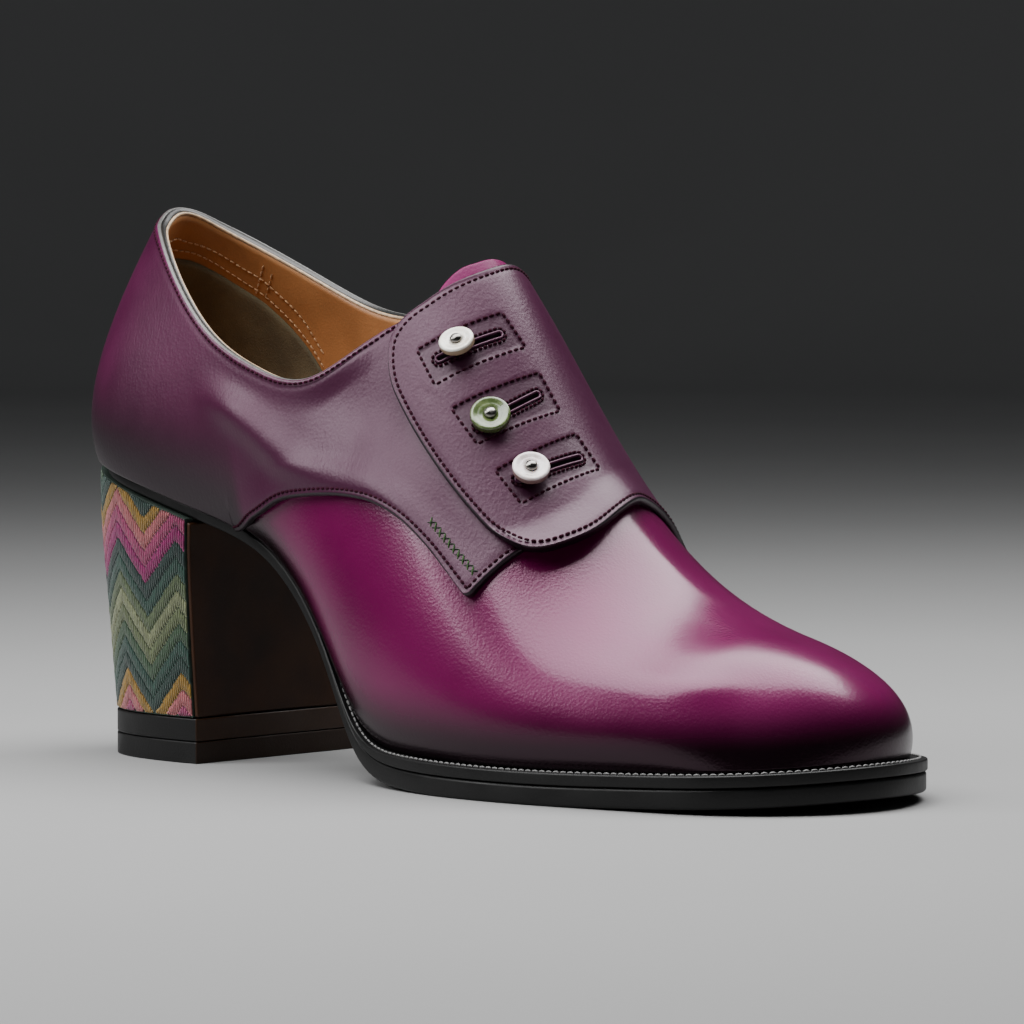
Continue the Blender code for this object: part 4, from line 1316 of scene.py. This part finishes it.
def platePiece(name, start, grow, top, bottom, radius):
    u = np.linspace(start, toeRow, int((toeRow - start) * plateSizes["perSection"]) + 1)
    outUpper, outLower = plateHalf(u, grow, top, bottom, radius)
    inUpper, inLower = plateHalf(ringLength - u, grow, top, bottom, radius)
    around = np.concatenate([outUpper, outLower[:, ::-1], inLower[:, 1:], inUpper[:, :0:-1]], 1)
    return loftPiece(name, around, capped=start > 0)


def insoleTop(s, foot):
    return foot + plateSizes["insoleLift"] + plateSizes["insoleThick"]


def insoleBottom(s, foot):
    return foot + plateSizes["insoleLift"]


def weltTop(s, foot):
    return foot - leatherLayers["gap"]


def weltBottom(s, foot):
    return foot - leatherLayers["gap"] - s["welt"]


def soleTop(s, foot):
    return weltBottom(s, foot) - leatherLayers["plateGap"]


def soleBottom(s, foot):
    low = soleTop(s, foot) - s["sole"]
    return np.where(np.abs(low) < plateSizes["treadFlat"], 0, low)


def makeSole():
    plates = (
        ("sock_lining", 0, lambda s: -plateSizes["insoleInset"], insoleTop, insoleBottom,
         plateSizes["insoleEdge"], tanLining, "lining_leather", "insole"),
        ("welt_leather", lastRows["arch"], lambda s: s["ledge"], weltTop, weltBottom,
         plateSizes["weltEdge"], blackLeather, "sole_leather", "welt"),
        ("outsole_leather", 0, lambda s: s["ledge"] - plateSizes["soleInset"], soleTop, soleBottom,
         plateSizes["soleEdge"], blackLeather, "sole_leather", "outsole"),
    )
    for *shape, material, slot, node in plates:
        finishPiece(platePiece(*shape), material, slot, node)


weltThread = {
    "from": 5.5, "steps": 900, "inset": 1.7, "lift": 0.02, "pitch": 1.9, "length": 1.45, "radius": 0.27,
    "arch": 0.16,
}


def makeWeltStitches():
    v = np.linspace(weltThread["from"], ringLength - weltThread["from"], weltThread["steps"])
    s = section(v)
    reach = s["edge"] + s["ledge"] - weltThread["inset"]
    path = np.stack([s["x"] + reach * np.cos(s["angle"]), s["y"] + reach * np.sin(s["angle"]),
                     s["foot"] - leatherLayers["gap"] + weltThread["lift"]], -1)
    up = np.broadcast_to(np.array([0.0, 0.0, 1.0]), path.shape)
    piece = threadPiece("welt_stitches", stitchesAlong(path, up, weltThread), weltThread)
    finishPiece(piece, silverThread, "sole_leather")


makeSole()
makeWeltStitches()
print("sole made")


# Block heel: a covered block, a leather breast in front, two lifts on the ground
heelTable = columns("share back half front", [
    [0.0, 6.0, 27.8, 48.2],
    [0.4, 3.3, 28.0, 46.9],
    [0.8, 0.6, 28.4, 46.2],
    [1.0, 0.2, 28.4, 46.2],
])
heelSizes = {
    "power": 2.6, "foot": 11.3, "hollow": 1.0, "levels": 48, "around": 220, "across": 24,
    "breastThick": 1.1, "breastInset": 0.3, "breastDrop": 0.8, "liftEdge": 0.3,
    "topPieceTop": 5.3, "liftBottom": 5.5, "liftTop": 11.0, "breastBevel": 0.35, "liftBevel": 0.3,
    "outlineSteps": 2001, "planDepth": 46, "planHalf": 28, "sharpAngle": 50,
}


# Outlines of the heel at shares of its height, from the outer front corner round the back, with
# even steps: x = front - depth * cos^(2/power), y = half * sin^(2/power)
def heelOutline(share, grow=0.0):
    rowNumber = np.interp(share, heelTable["share"], np.arange(len(heelTable["share"])))
    row = {key: value[:, None] for key, value in throughRows(heelTable, rowNumber).items()}
    power = 2 / heelSizes["power"]
    turn = np.linspace(-0.5 * np.pi, 0.5 * np.pi, heelSizes["outlineSteps"])
    roundX = np.cos(turn) ** power
    roundY = np.sign(turn) * np.abs(np.sin(turn)) ** power
    run = runLength(np.stack([roundX * heelSizes["planDepth"], roundY * heelSizes["planHalf"]], -1))
    even = np.linspace(0, run[-1], heelSizes["around"])
    half = row["half"] + grow
    x = row["front"] - (row["front"] - row["back"] + grow) * np.interp(even, run, roundX)[None, :]
    y = half * np.interp(even, run, roundY)[None, :]
    return x, y, row["front"], half


def heelTop(x):
    return seat(x) - 2 * leatherLayers["gap"] - leatherLayers["plateGap"] - soleTable["sole"][0]


def heelLevel(share, x, drop=0.0):
    return heelSizes["foot"] + share * (heelTop(x) - drop - heelSizes["foot"])


def makeHeelBlock():
    share = np.linspace(0, 1, heelSizes["levels"])
    x, y, front, half = heelOutline(share)
    inner = half * np.linspace(1, -1, heelSizes["across"])[None, 1:-1]
    face = front - heelSizes["hollow"] * (1 - (inner / half) ** 2)
    ringX, ringY = np.concatenate([x, face], 1), np.concatenate([y, inner], 1)
    rings = np.stack([ringX, ringY, heelLevel(share[:, None], ringX)], -1)
    piece = loftPiece("heel_cover", rings)
    piece.data.set_sharp_from_angle(angle=np.radians(heelSizes["sharpAngle"]))
    finishPiece(piece, heelCloth, "heel_cover", "heel_block")
    points = np.stack([x, y, heelLevel(share[:, None], x)], -1)
    normals = gridNormals(points)
    away = np.stack([x - front, y, 0 * x], -1)
    normals = normals * np.sign(np.sum(normals * away))
    return {"points": points, "normals": normals, "rows": share, "cols": np.linspace(0, 1, x.shape[1])}


def makeBreast():
    share = np.linspace(0, 1, heelSizes["levels"])
    front, half = heelOutline(share)[2:]
    side = (half - heelSizes["breastInset"]) * np.linspace(-1, 1, heelSizes["across"])[None, :]
    face = front + leatherLayers["gap"] - heelSizes["hollow"] * (1 - (side / half) ** 2)
    ringX = np.concatenate([face, face[:, ::-1] + heelSizes["breastThick"]], 1)
    ringY = np.concatenate([side, side[:, ::-1]], 1)
    rings = np.stack([ringX, ringY, heelLevel(share[:, None], ringX, heelSizes["breastDrop"])], -1)
    piece = loftPiece("breast_leather", rings)
    giveEdges(piece, heelSizes["breastBevel"])
    finishPiece(piece, brownLeather, "breast_leather", "heel_breast")


def makeLifts():
    size = heelSizes
    x, y, front, half = heelOutline(np.zeros(1), size["liftEdge"])
    face = front[0, 0] + leatherLayers["gap"] + size["breastThick"]
    ringX = np.concatenate([[face], x[0], [face]])
    ringY = np.concatenate([[-half[0, 0]], y[0], [half[0, 0]]])
    for name, low, high, *finish in (
            ("lift_leather", size["liftBottom"], size["liftTop"], liftLeather, "sole_leather", "heel_lift"),
            ("top_piece_rubber", 0, size["topPieceTop"], blackRubber, "top_rubber", "top_piece")):
        rings = np.stack([np.stack([ringX, ringY, np.full_like(ringX, z)], -1) for z in (low, high)])
        piece = loftPiece(name, rings)
        giveEdges(piece, size["liftBevel"])
        finishPiece(piece, *finish)


heelSheet = makeHeelBlock()
makeBreast()
makeLifts()
print("heel made")


# Needlework on the heel: upright flame stitches in zigzag bands, one column of stitches beside the next
flameSizes = {
    "spacing": 0.72, "step": 4.0, "period": 23.0, "height": 11.0, "radius": 0.36, "arch": 0.12,
    "seed": 11, "jitter": 0.25, "tone": 0.18, "bands": (-6, 22), "margin": 0.2,
    "shortest": 0.6,
}
flameColours = np.array([
    [0.012, 0.040, 0.030], [0.016, 0.060, 0.042], [0.040, 0.085, 0.040], [0.120, 0.150, 0.065],
    [0.210, 0.235, 0.120], [0.090, 0.125, 0.055], [0.018, 0.062, 0.044], [0.010, 0.034, 0.028],
    [0.250, 0.006, 0.110], [0.330, 0.040, 0.130], [0.420, 0.120, 0.130], [0.300, 0.170, 0.020],
])


def makeFlameStitches(sheet):
    size = flameSizes
    draw = np.random.default_rng(size["seed"])
    run = runLength(sheet["points"][len(sheet["rows"]) // 2])
    count = int(run[-1] / size["spacing"])
    place = (np.arange(count) + 0.5) * run[-1] / count
    col = np.interp(place, run, sheet["cols"])
    tall = (np.interp(col, sheet["cols"], sheet["points"][-1, :, 2]) - heelSizes["foot"])[:, None]
    saw = np.abs(((place - 0.5 * run[-1]) / size["period"] + 0.5) % 1 - 0.5) * 2
    bands = np.arange(*size["bands"])
    level = (size["height"] * saw)[:, None] + size["step"] * bands[None, :]
    level = level + draw.uniform(-1, 1, level.shape) * size["jitter"]
    low, high = level[:, :-1], level[:, 1:]
    colour = flameColours[np.broadcast_to(bands[:-1] % len(flameColours), low.shape)]
    colour = colour * (1 + size["tone"] * draw.uniform(-1, 1, low.shape))[..., None]
    bottom, top = np.maximum(low, size["margin"]), np.minimum(high, tall - size["margin"])
    kept = top - bottom > size["shortest"]
    cols = np.broadcast_to(col[:, None], low.shape)[kept]
    starts, normalLow = sheetAt(sheet, (bottom / tall)[kept], cols)
    ends, normalHigh = sheetAt(sheet, (top / tall)[kept], cols)
    colours = np.concatenate([colour[kept], np.ones((len(cols), 1))], 1)
    piece = threadPiece("heel_needlework", (starts, ends, unit(normalLow + normalHigh)), size, colours)
    finishPiece(piece, silkFloss, "heel_cover")
    return len(cols)


print("needlework stitches:", makeFlameStitches(heelSheet))


# Buttons on metal pins
buttonSizes = {
    "height": 2.0, "hole": 1.15, "lowRound": 0.5, "topRound": 0.55, "dishFrom": 0.6, "dishTo": 1.9,
    "dish": 0.3, "sideFrom": 0.3, "sideTo": 0.6, "steps": 72, "cornerSteps": 7, "dishSteps": 9,
    "domeSteps": 9, "pinRadius": 0.95, "pinHead": 1.5, "pinHeadHeight": 1.1, "pinClear": 0.1, "under": 1.85,
}


# A profile of radius and height turned about a button's pin. The tilt turns it about the hole's
# direction, upper side inwards.
def turnedPiece(name, i, profile, closed):
    size = buttonSizes
    foot, run, across, out = buttonFrame(i)[:4]
    up = np.sign(across[2]) * across
    lean = np.radians(buttonTable["tilt"][i])
    axis = out * np.cos(lean) + up * np.sin(lean)
    turn = 2 * np.pi * np.arange(size["steps"]) / size["steps"]
    spin = np.cos(turn)[None, :, None] * run + np.sin(turn)[None, :, None] * np.cross(axis, run)
    rise = leatherLayers["gap"] + buttonTable["raise"][i] + profile[:, 1]
    points = foot + spin * profile[:, 0][:, None, None] + axis * rise[:, None, None]
    side = smooth(profile[:, 1], size["height"] - size["sideFrom"], size["height"] - size["sideTo"])
    if closed:
        points = np.concatenate([points, points[:1]], 0)
        side = np.append(side, side[0])
    marks = {"side": np.broadcast_to(side[:, None], points.shape[:2])}
    return loftPiece(name, points, marks, capped=False)


# Half section of a button: round lower corner, round upper corner, a dished face, and the hole
def buttonProfile(radius):
    size = buttonSizes
    turn = np.linspace(0, 0.5 * np.pi, size["cornerSteps"])
    lowArc = np.stack([radius - size["lowRound"] * (1 - np.sin(turn)),
                       size["lowRound"] * (1 - np.cos(turn))], -1)
    topArc = np.stack([radius - size["topRound"] * (1 - np.cos(turn)),
                       size["height"] - size["topRound"] * (1 - np.sin(turn))], -1)
    inward = np.linspace(size["dishFrom"], size["dishTo"], size["dishSteps"])[1:]
    fall = smooth(inward, size["dishFrom"], size["dishTo"])
    dish = np.stack([radius - inward, size["height"] - size["dish"] * fall], -1)
    hole = np.array([[size["hole"], size["height"] - size["dish"]], [size["hole"], 0.0]])
    return np.concatenate([lowArc, topArc, dish, hole])


def pinProfile():
    size = buttonSizes
    rise = np.linspace(0, 0.5 * np.pi, size["domeSteps"])
    low = size["pinClear"] - quarterLift
    stem = np.array([[0, low], [size["pinRadius"], low], [size["pinRadius"], size["under"]]])
    dome = np.stack([size["pinHead"] * np.cos(rise),
                     size["under"] + size["pinHeadHeight"] * np.sin(rise)], -1)
    return np.concatenate([stem, dome])


def makeButtons():
    pearls = ((whitePearl, "pearl"), (greenPearl, "green_pearl"), (pinkPearl, "pearl"))
    for i, (material, slot) in enumerate(pearls):
        number = i + 1
        button = turnedPiece("pearl_button_%d" % number, i, buttonProfile(buttonTable["radius"][i]), True)
        finishPiece(button, material, slot, "button_%d" % number)
        pin = turnedPiece("metal_pin_%d" % number, i, pinProfile(), False)
        finishPiece(pin, pinMetal, "pin_metal", "button_pin_%d" % number)


makeButtons()
print("buttons made")


# Studio: a pale floor that curves up all round, soft boxes and a camera
studio = {
    "radius": 4.0, "bend": 1.0, "wall": 3.5, "turns": 96, "bendSteps": 13, "flatSteps": 12,
    "floorColour": (0.27, 0.27, 0.27), "floorDeep": (0.258, 0.258, 0.258), "wallColour": (0.42, 0.42, 0.43),
    "wallSpan": (0.02, 1.4), "cloudScale": 3.0, "cloudSpan": (0.3, 0.7), "roughness": 0.75,
    "worldColour": (0.86, 0.88, 0.90), "worldStrength": 0.14, "camera": (0.8964, -0.97295, 0.1324),
    "target": (0.0203, -0.01235, 0.064), "lens": 196.0, "clipStart": 0.05,
}
softBoxes = columns("x y z aimX aimY aimZ width height power", [
    [-0.032, -0.032, 0.72, -0.03169, -0.03105, 0.0, 0.50, 1.42, 21],
    [-0.80, -0.95, 0.74, -0.03, -0.04, 0.07, 0.55, 0.42, 8],
])


def makeFloor():
    turn = 2 * np.pi * np.arange(studio["turns"]) / studio["turns"]
    rise = np.linspace(0, 0.5 * np.pi, studio["bendSteps"])
    level = studio["radius"] - studio["bend"]
    flat = np.linspace(0, level, studio["flatSteps"])[:-1]
    reach = np.concatenate([flat, level + studio["bend"] * np.sin(rise), [studio["radius"]]])[:, None]
    height = np.concatenate([0 * flat, studio["bend"] * (1 - np.cos(rise)), [studio["wall"]]])[:, None]
    points = np.stack([reach * np.cos(turn), reach * np.sin(turn), height + 0 * turn], -1)
    faces = gridFaces(len(reach), len(turn), wrapAcross=True)
    bowl = joinDoubles(makeMesh("studio_floor", points * perMetre + origin, [faces]))
    material, tree, spot = newMaterial("studio_paper")
    clouds = noiseOf(tree, spot, studio["cloudScale"])
    paper = twoTone(tree, clouds, studio["cloudSpan"], studio["floorDeep"], studio["floorColour"])
    high = addNode(tree, "SeparateXYZ", {"Vector": spot}).outputs["Z"]
    paper = twoTone(tree, high, studio["wallSpan"], paper, studio["wallColour"])
    feedShader(tree, {"Base Color": paper, "Roughness": studio["roughness"]})
    bowl.data.materials.append(material)


# An object at a place, turned to look at another place
def aimedObject(data, place, aim):
    made = bpy.data.objects.new(data.name, data)
    made.location = place
    made.rotation_euler = (Vector(aim) - Vector(place)).to_track_quat("-Z", "Y").to_euler()
    bpy.context.scene.collection.objects.link(made)
    return made


def makeLights():
    for i, box in enumerate(tableRows(softBoxes)):
        lamp = bpy.data.lights.new("soft_box_%d" % (i + 1), "AREA")
        lamp.shape = "RECTANGLE"
        lamp.size = box["width"]
        lamp.size_y = box["height"]
        lamp.energy = box["power"]
        place, aim = ([box[key] for key in keys] for keys in (("x", "y", "z"), ("aimX", "aimY", "aimZ")))
        holder = aimedObject(lamp, place, aim)
    world = bpy.data.worlds.new("studio_world")
    world.use_nodes = True
    feedNode(world.node_tree, world.node_tree.nodes["Background"],
             {"Color": studio["worldColour"], "Strength": studio["worldStrength"]})
    bpy.context.scene.world = world


def makeCamera():
    camera = bpy.data.cameras.new("photo_camera")
    camera.lens = studio["lens"]
    camera.clip_start = studio["clipStart"]
    bpy.context.scene.camera = aimedObject(camera, studio["camera"], studio["target"])


makeFloor()
makeLights()
makeCamera()
print("studio made")
